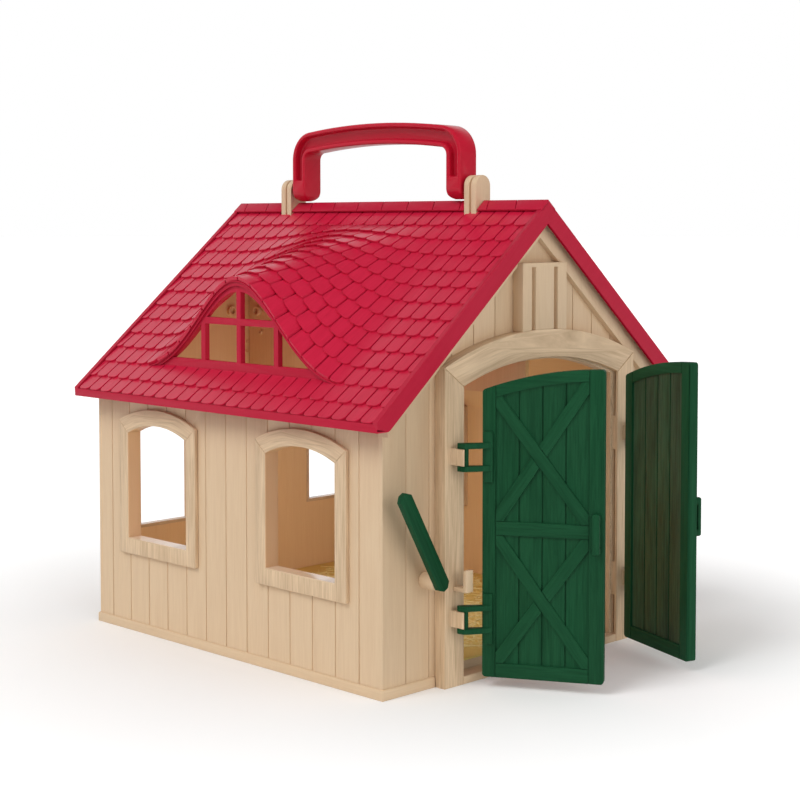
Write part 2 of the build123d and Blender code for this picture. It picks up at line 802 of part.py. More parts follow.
# each bracket is two boards with a narrower one between them, bored on the side of its leg
for end, middle, inward in (("front", bracket_front, 1), ("back", bracket_back, -1)):
    leg_side = Plane(
        origin=(0, middle + inward * bracket_thickness / 2, 0),
        x_dir=(-inward, 0, 0),
        z_dir=(0, inward, 0),
    )
    with BuildPart() as bracket:
        with BuildSketch(leg_side):
            add(bracket_profile(bracket_half_width))
        extrude(amount=-bracket_ply)
        with BuildSketch(leg_side.offset(-bracket_ply)):
            add(bracket_profile(bracket_half_width - bracket_groove_depth))
        extrude(amount=-bracket_groove)
        with BuildSketch(leg_side.offset(-bracket_ply - bracket_groove)):
            add(bracket_profile(bracket_half_width))
        extrude(amount=-bracket_ply)
        with BuildSketch(leg_side):
            with Locations((0, pivot_height)):
                Circle(handle_pin_radius + handle_pin_fit)
        extrude(amount=-handle_pin_in_bracket - slip_gap, mode=Mode.SUBTRACT)
    save(bracket.part, f"{end}_handle_bracket")
    with BuildPart() as handle_pin:
        with BuildSketch(leg_side.offset(-handle_pin_in_bracket)):
            with Locations((0, pivot_height)):
                Circle(handle_pin_radius)
        extrude(amount=handle_pin_in_bracket + bracket_gap + handle_pin_in_leg)
    save(handle_pin.part, f"{end}_handle_pin")

# ---------------------------------------------------------------- carry handle


def handle_profile():
    """Front-to-back outline of the handle: two legs and an arched grip."""
    low = pivot_height - leg_below_pivot
    shoulder = handle_top - handle_arch
    inner_front = handle_front + handle_leg
    inner_back = handle_back - handle_leg
    inner_top = handle_top - handle_bar
    inner_shoulder = inner_top - handle_inner_arch
    with BuildSketch() as outer:
        with BuildLine():
            crown = ThreePointArc(
                (handle_front, shoulder), (handle_centre, handle_top), (handle_back, shoulder)
            )
            Polyline(crown @ 1, (handle_back, low), (handle_front, low), crown @ 0)
        make_face()
        fillet(outer.vertices().group_by(Axis.Y)[-1], radius=handle_corner)
    with BuildSketch() as inner:
        with BuildLine():
            crown = ThreePointArc(
                (inner_front, inner_shoulder), (handle_centre, inner_top), (inner_back, inner_shoulder)
            )
            Polyline(crown @ 1, (inner_back, 0), (inner_front, 0), crown @ 0)
        make_face()
        fillet(inner.vertices().group_by(Axis.Y)[-1], radius=handle_inner_corner)
    with BuildSketch() as face:
        add(outer.sketch)
        add(inner.sketch, mode=Mode.SUBTRACT)
        fillet(face.vertices().group_by(Axis.Y)[0], radius=handle_foot_corner)
    return face.sketch


with BuildPart() as carry_handle:
    with BuildSketch(Plane.YZ):
        add(handle_profile())
    extrude(amount=handle_width / 2, both=True)
    # the feet are rounded under the pivot so that they clear the ridge as the handle folds
    with BuildSketch(Plane.XZ.offset(-plinth_length)):
        with Locations((0, pivot_height - leg_below_pivot)):
            Rectangle(handle_width, handle_top, align=(Align.CENTER, Align.MIN))
        fillet(vertices().group_by(Axis.Y)[0], radius=handle_foot_round)
    extrude(amount=2 * plinth_length, mode=Mode.INTERSECT)
    # a recess in each side leaves a rim all round and a solid foot about the pin
    for side in (-1, 1):
        with BuildSketch(Plane.YZ.offset(side * handle_width / 2)):
            add(handle_profile())
            offset(amount=-handle_rim, mode=Mode.REPLACE)
            with Locations((0, pivot_height + handle_pin_radius + handle_rim)):
                Rectangle(plinth_length, handle_top, align=(Align.CENTER, Align.MAX), mode=Mode.SUBTRACT)
        extrude(amount=-side * handle_recess, mode=Mode.SUBTRACT)
    for place, inward in ((handle_front, 1), (handle_back, -1)):
        with BuildSketch(Plane(origin=(0, place, 0), x_dir=(-inward, 0, 0), z_dir=(0, inward, 0))):
            with Locations((0, pivot_height)):
                Circle(handle_pin_radius + handle_pin_fit)
        extrude(amount=handle_pin_in_leg + slip_gap, mode=Mode.SUBTRACT)
save(carry_handle.part, "carry_handle")

# ---------------------------------------------------------------- doors


def door_plane(hand, angle, out=0.0):
    """Plane of an open door through its hinge line: y up, z out of its outer face."""
    turn = radians(angle)
    plane = Plane(
        origin=(-hand * hinge_x, hinge_y, 0),
        x_dir=(cos(turn), -hand * sin(turn), 0),
        z_dir=(-hand * sin(turn), -cos(turn), 0),
    )
    return plane.offset(out)


def leaf_outline(hand, hinge_margin, meeting_margin, top_margin, bottom_margin):
    """Face of a door with the given strips left off its four sides."""
    start = leaf_start + hinge_margin
    end = leaf_end - meeting_margin
    low = leaf_bottom + bottom_margin
    with BuildSketch() as face:
        with Locations((hand * (start + end) / 2, low)):
            Rectangle(end - start, doorway_apex, align=(Align.CENTER, Align.MIN))
        with Locations((hand * hinge_x, arch_centre)):
            Circle(arch_radius - leaf_top_gap - top_margin, mode=Mode.INTERSECT)
    return face.sketch


def panel_top_at(place):
    """Height of the underside of a door's top rail, at a place out from the hinge line."""
    radius = arch_radius - leaf_top_gap - top_rail
    return arch_centre + sqrt(radius**2 - (hinge_x - place) ** 2)


def leaf_panels(hand):
    """The two panels inside a door's frame, less their crossed braces."""
    start = leaf_start + hinge_stile
    end = leaf_end - meeting_stile
    rail_low = middle_rail_height - middle_rail / 2
    rail_high = middle_rail_height + middle_rail / 2
    sill = leaf_bottom + bottom_rail
    braces = (
        ((start, sill), (end, rail_low)),
        ((start, rail_low), (end, sill)),
        ((start, rail_high), (end, panel_top_at(end))),
        ((start, panel_top_at(start)), (end, rail_high)),
    )
    with BuildSketch() as face:
        add(leaf_outline(hand, hinge_stile, meeting_stile, top_rail, bottom_rail))
        with Locations((hand * (start + end) / 2, middle_rail_height)):
            Rectangle(end - start, middle_rail, mode=Mode.SUBTRACT)
        for (first_x, first_y), (last_x, last_y) in braces:
            run = hand * (last_x - first_x)
            rise = last_y - first_y
            with Locations((hand * (first_x + last_x) / 2, (first_y + last_y) / 2)):
                Rectangle(
                    sqrt(run**2 + rise**2) + brace_width,
                    brace_width,
                    rotation=degrees(atan2(rise, run)),
                    mode=Mode.SUBTRACT,
                )
    return face.sketch


def leaf_grooves(hand):
    """Strips between the upright boards of a door."""
    board = (leaf_end - leaf_start - hinge_stile - meeting_stile) / leaf_board_count
    with BuildSketch() as face:
        for i in range(1, leaf_board_count):
            with Locations((hand * (leaf_start + hinge_stile + i * board), ridge_height / 2)):
                Rectangle(leaf_groove_width, ridge_height)
    return face.sketch


def door_leaf(hand, angle):
    """Boarded door with a raised frame and crossed braces outside and a frame inside."""
    outer = door_plane(hand, angle, -leaf_face)
    inner = outer.offset(-leaf_thickness)
    with BuildPart() as leaf:
        with BuildSketch(outer):
            add(leaf_outline(hand, 0, 0, 0, 0))
            fillet(vertices(), radius=leaf_corner)
        extrude(amount=-leaf_thickness)
        with BuildSketch(outer):
            add(leaf_panels(hand))
        extrude(amount=-leaf_relief, mode=Mode.SUBTRACT)
        with BuildSketch(outer):
            add(leaf_panels(hand))
            add(leaf_grooves(hand), mode=Mode.INTERSECT)
        extrude(amount=-leaf_relief - leaf_groove_depth, mode=Mode.SUBTRACT)
        with BuildSketch(inner):
            add(leaf_outline(hand, hinge_stile, meeting_stile, top_rail, bottom_rail))
        extrude(amount=leaf_relief, mode=Mode.SUBTRACT)
        with BuildSketch(inner):
            add(leaf_outline(hand, hinge_stile, meeting_stile, top_rail, bottom_rail))
            add(leaf_grooves(hand), mode=Mode.INTERSECT)
        extrude(amount=leaf_relief + leaf_groove_depth, mode=Mode.SUBTRACT)
        # bevel on the inner edge where the doors meet
        with BuildSketch(Plane(origin=inner.origin, x_dir=inner.x_dir, z_dir=(0, 0, 1))):
            add(
                outline(
                    (hand * leaf_end, 0),
                    (hand * leaf_end, -leaf_meeting_bevel),
                    (hand * (leaf_end - leaf_meeting_bevel), 0),
                )
            )
        extrude(amount=ridge_height, mode=Mode.SUBTRACT)
    return leaf.part


def door_pull(hand, angle):
    """D-shaped pull on the stile beside the meeting edge."""
    face = door_plane(hand, angle, -leaf_face)
    place = (hand * (leaf_end - pull_edge_distance), pull_place)
    with BuildPart() as pull:
        with BuildSketch(face):
            with Locations(place):
                RectangleRounded(pull_width, pull_height, pull_width / 3)
        extrude(amount=pull_stand)
        with BuildSketch(face):
            with Locations(place):
                Rectangle(2 * pull_width, pull_height - 2 * pull_post)
        extrude(amount=pull_gap, mode=Mode.SUBTRACT)
    return pull.part


def door_hinge(hand, angle, height):
    """Pad on the door's stile with two tapered arms and the pin they carry."""
    level = Plane(
        origin=(-hand * hinge_x, hinge_y, height),
        x_dir=door_plane(hand, angle).x_dir,
        z_dir=(0, 0, 1),
    )
    pad_middle = (hand * (leaf_start + pad_inset + pad_width / 2), leaf_face - pad_thickness / 2)
    with BuildSketch() as arm:
        Circle(eye_radius)
        with Locations((-hand * arm_tail, 0)):
            Circle(arm_tail_radius)
        with Locations(pad_middle):
            Rectangle(pad_width, pad_thickness)
        make_hull()
    with BuildPart() as hinge:
        with BuildSketch(level.offset(-pad_height / 2)):
            with Locations(pad_middle):
                Rectangle(pad_width, pad_thickness)
        extrude(amount=pad_height)
        for start in (knuckle_height / 2 + arm_gap, -knuckle_height / 2 - arm_gap - arm_thickness):
            with BuildSketch(level.offset(start)):
                add(arm.sketch)
            extrude(amount=arm_thickness)
        with BuildSketch(level.offset(-knuckle_height / 2 - arm_gap - arm_thickness)):
            Circle(pin_radius)
        extrude(amount=knuckle_height + 2 * (arm_gap + arm_thickness))
    return hinge.part


for side_name, hand, angle in (("left", 1, left_door_angle), ("right", -1, right_door_angle)):
    save(door_leaf(hand, angle), f"{side_name}_door_leaf")
    save(door_pull(hand, angle), f"{side_name}_door_pull")
    for level_name, height in zip(("lower", "upper"), hinge_heights):
        save(door_hinge(hand, angle, height), f"{side_name}_{level_name}_hinge")

# ---------------------------------------------------------------- latch

with BuildPart() as latch_boss:
    with BuildSketch(wall_plane("front")):
        with Locations((latch_x, latch_z)):
            Circle(boss_radius)
    extrude(amount=latch_back - boss_gap)
    with BuildSketch(wall_plane("front")):
        with Locations((latch_x, latch_z)):
            Circle(stub_radius)
    extrude(amount=latch_back + stub_length)
save(latch_boss.part, "latch_boss")

lean = radians(latch_lean)
bar_back = Plane(
    origin=(latch_x, -wall_y - latch_back, latch_z), x_dir=(-sin(lean), 0, cos(lean)), z_dir=(0, -1, 0)
)
with BuildPart() as latch_bar:
    with BuildSketch(bar_back):
        with Locations((latch_length / 2 - latch_tail, 0)):
            Rectangle(latch_length, latch_width)
        chamfer(vertices(), length=latch_corner)
    extrude(amount=latch_thickness)
    with BuildSketch(bar_back):
        Circle(stub_radius + pin_clearance)
    extrude(amount=stub_length + slip_gap, mode=Mode.SUBTRACT)
save(latch_bar.part, "latch_bar")
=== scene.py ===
import json
import random
from math import atan2, cos, radians, sin, sqrt, tan

import bmesh
import bpy
from mathutils import Matrix, Vector

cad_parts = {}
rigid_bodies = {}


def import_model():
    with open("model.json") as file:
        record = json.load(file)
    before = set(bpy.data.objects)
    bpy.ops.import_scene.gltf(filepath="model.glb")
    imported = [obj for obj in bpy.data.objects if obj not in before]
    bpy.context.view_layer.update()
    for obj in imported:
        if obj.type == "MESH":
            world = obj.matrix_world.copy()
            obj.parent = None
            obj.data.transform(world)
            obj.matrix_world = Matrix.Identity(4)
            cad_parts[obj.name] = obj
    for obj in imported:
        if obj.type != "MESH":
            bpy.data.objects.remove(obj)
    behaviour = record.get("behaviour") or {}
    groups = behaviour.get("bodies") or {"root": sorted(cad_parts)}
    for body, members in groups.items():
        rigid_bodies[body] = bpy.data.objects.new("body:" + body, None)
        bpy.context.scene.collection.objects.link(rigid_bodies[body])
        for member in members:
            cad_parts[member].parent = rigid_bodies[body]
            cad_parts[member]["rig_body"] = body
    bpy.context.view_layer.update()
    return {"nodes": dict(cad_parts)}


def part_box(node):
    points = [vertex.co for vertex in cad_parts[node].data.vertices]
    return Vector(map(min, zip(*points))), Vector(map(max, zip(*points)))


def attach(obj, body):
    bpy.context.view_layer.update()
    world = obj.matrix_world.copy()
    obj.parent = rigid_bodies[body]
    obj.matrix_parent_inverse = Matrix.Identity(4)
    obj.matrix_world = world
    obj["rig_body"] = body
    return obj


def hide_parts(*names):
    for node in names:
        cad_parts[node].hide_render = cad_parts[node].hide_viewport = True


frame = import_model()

scene = bpy.context.scene
bpy.ops.object.select_all(action="DESELECT")

# ------------------------------------------------------------ plinth tray
# The barn stands on a shallow moulded tray of cream plastic, ribbed underneath.
# It is cast in one piece, so its edges are slightly rounded where it left the mould.


def moulded(node, name, edge, segments=2, joined=True):
    """A copy of a CAD piece with its facets joined and its sharp edges rounded."""
    source = frame["nodes"][node]
    piece = bpy.data.objects.new(name, source.data.copy())
    piece.data.name = name
    piece.data.materials.clear()
    scene.collection.objects.link(piece)
    bpy.ops.object.select_all(action="DESELECT")
    piece.select_set(True)
    bpy.context.view_layer.objects.active = piece
    bpy.ops.object.mode_set(mode="EDIT")
    bpy.ops.mesh.select_all(action="SELECT")
    bpy.ops.mesh.remove_doubles(threshold=2e-6)
    if joined:
        bpy.ops.mesh.dissolve_limited(angle_limit=radians(0.3))
    bpy.ops.object.mode_set(mode="OBJECT")
    if edge:
        round_edges(piece, edge, segments)
    bpy.ops.object.shade_smooth_by_angle(angle=radians(32))
    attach(piece, source["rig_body"])
    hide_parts(node)
    return piece


def round_edges(piece, edge, segments=2):
    """Rounds the sharp edges of the piece in hand."""
    rounding = piece.modifiers.new("rounding", "BEVEL")
    rounding.width = edge
    rounding.segments = segments
    rounding.limit_method = "ANGLE"
    rounding.angle_limit = radians(28)
    rounding.use_clamp_overlap = True
    bpy.ops.object.modifier_apply(modifier="rounding")


def run_grain(piece, along, chosen=None):
    """Lays the grain map: u runs along the boards and v across them, in metres."""
    mesh = piece.data
    layer = mesh.uv_layers.get("grain") or mesh.uv_layers.new(name="grain")
    along = Vector(along).normalized()
    side = along.orthogonal().normalized()
    for face in mesh.polygons:
        if chosen and not chosen(face.center):
            continue
        first = along
        across = face.normal.cross(along)
        if across.length < 0.3:
            first = side
            across = along.cross(side)
        across.normalize()
        for corner in face.loop_indices:
            place = mesh.vertices[mesh.loops[corner].vertex_index].co
            layer.data[corner].uv = (place.dot(first), place.dot(across))


def grained_plastic(name, colour, dark, roughness, depth, fine=1500, length=55, gloss=0.4):
    """Moulded plastic with the fine streaks of sawn wood, which follow the grain map."""
    material = bpy.data.materials.new(name)
    material.use_nodes = True
    nodes = material.node_tree.nodes
    link = material.node_tree.links.new
    shader = nodes["Principled BSDF"]
    shader.inputs["Roughness"].default_value = roughness
    shader.inputs["Specular IOR Level"].default_value = gloss
    grain = nodes.new("ShaderNodeUVMap")
    grain.uv_map = "grain"
    stretch = nodes.new("ShaderNodeMapping")
    stretch.inputs["Scale"].default_value = (length, fine, 1)
    link(grain.outputs["UV"], stretch.inputs["Vector"])
    streaks = nodes.new("ShaderNodeTexNoise")
    streaks.inputs["Scale"].default_value = 1.0
    streaks.inputs["Detail"].default_value = 4.0
    streaks.inputs["Roughness"].default_value = 0.6
    streaks.inputs["Distortion"].default_value = 0.5
    link(stretch.outputs["Vector"], streaks.inputs["Vector"])
    broad = nodes.new("ShaderNodeMapping")
    broad.inputs["Scale"].default_value = (length / 3, fine / 6, 1)
    link(grain.outputs["UV"], broad.inputs["Vector"])
    growth = nodes.new("ShaderNodeTexNoise")
    growth.inputs["Scale"].default_value = 1.0
    growth.inputs["Detail"].default_value = 3.0
    growth.inputs["Distortion"].default_value = 1.2
    link(broad.outputs["Vector"], growth.inputs["Vector"])
    blend = nodes.new("ShaderNodeMix")
    blend.data_type = "FLOAT"
    blend.inputs["Factor"].default_value = 0.45
    link(streaks.outputs["Fac"], blend.inputs["A"])
    link(growth.outputs["Fac"], blend.inputs["B"])
    tones = nodes.new("ShaderNodeValToRGB")
    tones.color_ramp.elements[0].position = 0.34
    tones.color_ramp.elements[0].color = (*dark, 1)
    tones.color_ramp.elements[1].position = 0.60
    tones.color_ramp.elements[1].color = (*colour, 1)
    link(blend.outputs["Result"], tones.inputs["Fac"])
    link(tones.outputs["Color"], shader.inputs["Base Color"])
    relief = nodes.new("ShaderNodeBump")
    relief.inputs["Strength"].default_value = 0.6
    relief.inputs["Distance"].default_value = depth
    link(blend.outputs["Result"], relief.inputs["Height"])
    link(relief.outputs["Normal"], shader.inputs["Normal"])
    return material


cream = grained_plastic(
    "cream_moulding", (0.745, 0.555, 0.362), (0.695, 0.50, 0.318), 0.46, 0.00012
)
tray_rim_start = 0.1  # the long rims lie further out than this, and their grain runs lengthwise
tray = moulded("base_tray", "plinth_tray", 0.0004)
run_grain(tray, (0, 1, 0), lambda p: abs(p.x) > tray_rim_start)
run_grain(tray, (1, 0, 0), lambda p: abs(p.x) <= tray_rim_start)
tray.data.materials.append(cream)

# ------------------------------------------------------------ straw floor
# A thin yellow mat lies on the tray, moulded all over with crossed straws.
# The straws are low ridges, so they are laid a little proud of the mat.

straw = bpy.data.materials.new("straw_moulding")
straw.use_nodes = True
straw_nodes = straw.node_tree.nodes
straw_tone = straw_nodes.new("ShaderNodeAttribute")
straw_tone.attribute_name = "tone"
straw_ramp = straw_nodes.new("ShaderNodeValToRGB")
straw_ramp.color_ramp.elements[0].color = (0.84, 0.66, 0.20, 1)
straw_ramp.color_ramp.elements[1].color = (0.97, 0.88, 0.46, 1)
straw_shader = straw_nodes["Principled BSDF"]
straw_shader.inputs["Roughness"].default_value = 0.55
straw.node_tree.links.new(straw_tone.outputs["Fac"], straw_ramp.inputs["Fac"])
straw.node_tree.links.new(straw_ramp.outputs["Color"], straw_shader.inputs["Base Color"])

straw_mat = moulded("straw_floor", "straw_mat", 0.0003)
straw_mat.data.materials.append(straw)
mat_low, mat_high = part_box("straw_floor")
straw_mat.data.attributes.new("tone", "FLOAT", "POINT")

straw_count = 1500
straw_radius = 0.0005
straw_shortest, straw_longest = 0.012, 0.026
straw_margin = 0.015  # the middles of the straws keep this far from the mat's edges
straw_sink, straw_proud, straw_flatness = 0.0001, 0.0003, 0.8
bpy.ops.object.select_all(action="DESELECT")
bpy.ops.mesh.primitive_cylinder_add(
    vertices=6, radius=straw_radius, depth=1, rotation=(0, radians(90), 0)
)
one_straw = bpy.context.object
bpy.ops.object.transform_apply(location=False, rotation=True, scale=True)
chance = random.Random(7)
straws = bmesh.new()
straw_tones = []
for i in range(straw_count):
    reach = chance.uniform(straw_shortest, straw_longest)
    turn = chance.uniform(0, 3.1416)
    x = chance.uniform(mat_low.x + straw_margin, mat_high.x - straw_margin)
    y = chance.uniform(mat_low.y + straw_margin, mat_high.y - straw_margin)
    laid = (
        Matrix.Translation((x, y, mat_high.z + chance.uniform(-straw_sink, straw_proud)))
        @ Matrix.Rotation(turn, 4, "Z")
        @ Matrix.Diagonal((reach, 1, straw_flatness, 1))
    )
    copy = one_straw.data.copy()
    copy.transform(laid)
    straws.from_mesh(copy)
    straw_tones += [chance.random()] * len(copy.vertices)
    bpy.data.meshes.remove(copy)
bpy.data.objects.remove(one_straw)
straws_mesh = bpy.data.meshes.new("laid_straws")
straws.to_mesh(straws_mesh)
straws.free()
straws_mesh.attributes.new("tone", "FLOAT", "POINT").data.foreach_set("value", straw_tones)
straws_mesh.materials.append(straw)
laid_straws = bpy.data.objects.new("laid_straws", straws_mesh)
scene.collection.objects.link(laid_straws)
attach(laid_straws, "barn")

# ------------------------------------------------------------ walls and gables
# Two side walls and two gables of cream plastic stand on the tray's edge.
# Grooves moulded in their outer faces divide them into upright boards.

# The inner faces are the same cream plastic, painted a warmer, more orange cream as the light bounced
# inside the barn: painted bounce light.
cream_painted_bounce = grained_plastic("cream_painted_bounce", (0.88, 0.62, 0.35), (0.84, 0.57, 0.31), 0.5, 0.00006)
for node in ("left_wall", "right_wall", "front_gable", "back_gable"):
    wall = moulded(node, f"{node}_boards", 0.00022, 1)
    run_grain(wall, (0, 0, 1))
    wall.data.materials.append(cream)
    wall.data.materials.append(cream_painted_bounce)
    # faces turned inwards take the cream painted with bounce light
    for face in wall.data.polygons:
        outward = face.center.x * face.normal.x if "wall" in node else face.center.y * face.normal.y
        face.material_index = 1 if outward < 0 else 0

# ------------------------------------------------------------ wall ledges
# A cream ledge runs along the inside of each side wall, close under the slope.
# It is moulded with the wall, and closes the corner between the wall and the roof.

ledge_inner, ledge_outer = 0.0925, 0.1010
ledge_half_length = 0.1040
ledge_inner_depth, ledge_outer_depth = 0.0005, 0.008
roof_under = 0.1375  # underside of the slopes over the middle of a side wall
wall_middle = 0.0973
slope_fall = 0.851
ledge_gap = 0.0002
for hand, name in ((-1, "left_ledge"), (1, "right_ledge")):
    bpy.ops.object.select_all(action="DESELECT")
    bpy.ops.mesh.primitive_cube_add(size=1)
    ledge = bpy.context.object
    ledge.name = name
    for vertex in ledge.data.vertices:
        is_outer = vertex.co.x * hand > 0
        reach = ledge_outer if is_outer else ledge_inner
        top = roof_under - (reach - wall_middle) * slope_fall - ledge_gap
        bottom = top - (ledge_outer_depth if is_outer else ledge_inner_depth)
        end = ledge_half_length if vertex.co.y > 0 else -ledge_half_length
        vertex.co = (hand * reach, end, top if vertex.co.z > 0 else bottom)
    bpy.ops.object.mode_set(mode="EDIT")
    bpy.ops.mesh.select_all(action="SELECT")
    bpy.ops.mesh.normals_make_consistent(inside=False)
    bpy.ops.object.mode_set(mode="OBJECT")
    run_grain(ledge, (0, 1, 0))
    # the ledge takes the cream painted with bounce light, like the walls' inner faces
    ledge.data.materials.append(cream_painted_bounce)
    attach(ledge, "barn")

# ------------------------------------------------------------ window casings
# Each window has an arched casing of four boards, with mitred corners, and a
# lining that passes through the wall. They are moulded together and clip in.


def score(piece, strokes, facing, width=0.00028, depth=0.00025):
    """Cuts thin joint lines into a face of a piece, each from one point to another."""
    facing = Vector(facing).normalized()
    bpy.ops.object.select_all(action="DESELECT")
    cutters = []
    for start, end in strokes:
        run = Vector(end) - Vector(start)
        along = run.normalized()
        side = facing.cross(along)
        bpy.ops.mesh.primitive_cube_add(size=1)
        cutter = bpy.context.object
        cutter.matrix_world = (
            Matrix.Translation((Vector(start) + Vector(end)) / 2)
            @ Matrix((along, side, facing)).transposed().to_4x4()
            @ Matrix.Diagonal((run.length, width, 2 * depth, 1))
        )
        cutters.append(cutter)
    for cutter in cutters:
        cutter.select_set(True)
    bpy.context.view_layer.objects.active = cutters[0]
    bpy.ops.object.join()
    bpy.ops.object.transform_apply()
    bpy.ops.object.select_all(action="DESELECT")
    piece.select_set(True)
    bpy.context.view_layer.objects.active = piece
    cut = piece.modifiers.new("joints", "BOOLEAN")
    cut.operation = "DIFFERENCE"
    cut.solver = "EXACT"
    cut.use_self = True
    cut.object = cutters[0]
    bpy.ops.object.modifier_apply(modifier="joints")
    bpy.data.objects.remove(cutters[0])


def bend_grain(piece, course, chosen):
    """Lays the grain map of the chosen faces along bent lines: course gives u and v."""
    layer = piece.data.uv_layers["grain"]
    for face in piece.data.polygons:
        if chosen(face):
            for corner in face.loop_indices:
                place = piece.data.vertices[piece.data.loops[corner].vertex_index].co
                layer.data[corner].uv = course(place)


bold_cream = grained_plastic(
    "cream_board", (0.79, 0.59, 0.385), (0.54, 0.375, 0.225), 0.46, 0.00032, 1150, 45
)
# The sills are glossy, and their tops are painted a little lighter and whiter than the casings' cream:
# a painted highlight.
sill_cream_painted_highlight = grained_plastic("cream_sill_painted_highlight", (0.78, 0.60, 0.42), (0.76, 0.58, 0.40), 0.14, 0.00001)
# The reveals' sides and arches are painted a darker, more orange cream: painted shade with warm bounce
# light from inside.
lining_cream_painted_bounce = grained_plastic("cream_lining_painted_bounce", (0.76, 0.49, 0.28), (0.74, 0.47, 0.26), 0.4, 0.00001)

casings = (
    "left_window_front", "left_window_back", "right_window_front", "right_window_back",
    "back_window_left", "back_window_right",
)
casing_half_width, casing_corner = 0.0325, 0.1117
window_half_width, window_spring = 0.0242, 0.1046
reveal_half_width, reveal_low, reveal_high = 0.0247, 0.0455, 0.1105
sill_board_top = 0.0494
head_radius, head_centre = 0.066, 0.047  # the bow that the head's grain follows
head_mitre_start, head_mitre_rise = 0.0244, 0.85
back_lining_start = 0.1064  # the back gable's linings begin flush with its inner face
for node in casings:
    low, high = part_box(node)
    middle = (low + high) / 2
    casing = moulded(node, f"{node}_casing", 0.0004)
    if "back_window" in node:
        for vertex in casing.data.vertices:
            vertex.co.y = max(vertex.co.y, back_lining_start)
        flat, facing, front = Vector((1, 0, 0)), Vector((0, 1, 0)), high.y
    elif middle.x < 0:
        flat, facing, front = Vector((0, 1, 0)), Vector((-1, 0, 0)), abs(low.x)
    else:
        flat, facing, front = Vector((0, 1, 0)), Vector((1, 0, 0)), high.x
    across = middle.dot(flat)
    centre = facing * front + flat * across
    mitres = []
    for hand in (-1, 1):
        outer = centre + flat * hand * casing_half_width + Vector((0, 0, casing_corner))
        inner = centre + flat * hand * window_half_width + Vector((0, 0, window_spring))
        mitres.append((outer, inner))
    score(casing, mitres, facing)
    run_grain(casing, (0, 0, 1))
    run_grain(casing, flat, lambda p: p.z < sill_board_top)
    bend_grain(
        casing,
        lambda p: (
            head_radius * atan2(p.dot(flat) - across, p.z - head_centre),
            sqrt((p.dot(flat) - across) ** 2 + (p.z - head_centre) ** 2),
        ),
        lambda face: face.center.z
        > window_spring + (abs(face.center.dot(flat) - across) - head_mitre_start) * head_mitre_rise,
    )
    casing.data.materials.append(bold_cream)
    casing.data.materials.append(sill_cream_painted_highlight)
    casing.data.materials.append(lining_cream_painted_bounce)
    # In the reveal, upward tops take the sill cream with a painted highlight, and the upright sides and
    # arch take the cream painted with shade and bounce light.
    for face in casing.data.polygons:
        beside = abs(face.center.dot(flat) - across) < reveal_half_width
        in_reveal = beside and reveal_low < face.center.z < reveal_high
        if in_reveal and abs(face.normal.dot(facing)) < 0.5:
            face.material_index = 1 if face.normal.z > 0.5 else 2

# ------------------------------------------------------------ door frame
# The architrave round the doorway and its lining are one moulding, with open
# clips for the hinge pins. The head is a wide arched board, mitred to the jambs.

door_frame = moulded("door_frame", "door_frame_moulding", 0.0003)
doorway_half_width, doorway_spring, doorway_rise = 0.0575, 0.1394, 0.0105
door_mitre_rise = 0.72
head_grain_rise, head_grain_bend = 0.30, 0.016  # the grain climbs to the middle of the head
architrave_back = -0.1150
stop_groove_y = -0.1136
stop_groove_width, stop_groove_depth = 0.0016, 0.0026
stop_groove_ends = ((0.0040, 0.0238), (0.0412, 0.0989), (0.1163, 0.1385))
for hand in (-1, 1):
    x = hand * doorway_half_width
    runs = [((x, stop_groove_y, low), (x, stop_groove_y, high)) for low, high in stop_groove_ends]
    score(door_frame, runs, (-hand, 0, 0), stop_groove_width, stop_groove_depth)
run_grain(door_frame, (0, 0, 1))
bend_grain(
    door_frame,
    lambda p: (p.x, p.z + head_grain_rise * sqrt(p.x**2 + head_grain_bend**2)),
    lambda face: face.normal.y < -0.5
    and face.center.z > doorway_spring + (abs(face.center.x) - doorway_half_width) * door_mitre_rise,
)
run_grain(door_frame, (1, 0, 0), lambda p: p.z > doorway_spring and p.y > architrave_back)
door_frame.data.materials.append(bold_cream)

# ------------------------------------------------------------ hook, boss and shutter
# The hook for the latch bar, the boss that the bar turns on and the loft's shutter
# are small cream mouldings that stand on the jamb and on the front gable.

for node in ("latch_hook", "latch_boss", "loft_shutter"):
    trim = moulded(node, f"{node}_moulding", 0.0004)
    run_grain(trim, (0, 0, 1))
    trim.data.materials.append(cream)

# ------------------------------------------------------------ roof slopes
# Two slopes of satin red plastic meet at the ridge, each with a rim along its
# gables, and the left one swells into an eyebrow dormer. The field between the
# rims is sunk here, so that the tiles stand in it as pieces of their own.
# The sunk field is painted a dark red, which stands for the shade deep between the tiles: painted
# shade.

pitch = radians(40.4)
ridge_height = 0.2261
slope_length = 0.152
rim_width = 0.00275
course_pitch = 0.01125
course_start = slope_length - 13 * course_pitch
hood_edge = 0.0984
hood_tail = 0.0136
hood_half_width = 0.080
hood_margin = 0.0805  # beyond this the left slope is flat
hood_overrun = 0.0012  # the slope stays lifted this far past the hood's edge
hood_root, hood_rise, hood_flare = 0.0005, 0.0465, 1.8
below_dormer = -0.1  # the slope is flat again further out than this
slope_edge = 0.0003
courses_depth = 0.0009  # the solid's own tile courses lie deeper than this
deck_depth = 0.00235
lip_start, lip_end = -0.0978, -0.0990
eave_rim_start = 0.1500
eave_rim_depth = 0.0013
nose_start, nose_top, fascia_reach = 0.1095, 0.1272, 0.1152


def hood_lift(x, y):
    """How far the dormer raises the left slope at a place, straight up."""
    out = -x
    t = y / hood_half_width
    if abs(t) >= 1 or not hood_tail < out < hood_edge + hood_overrun:
        return 0.0
    bell = (1 - t * t) ** 2 / (1 + hood_flare * t * t)
    share = (out - hood_tail) / (hood_edge - hood_tail)
    return (hood_root + share * hood_rise) * bell


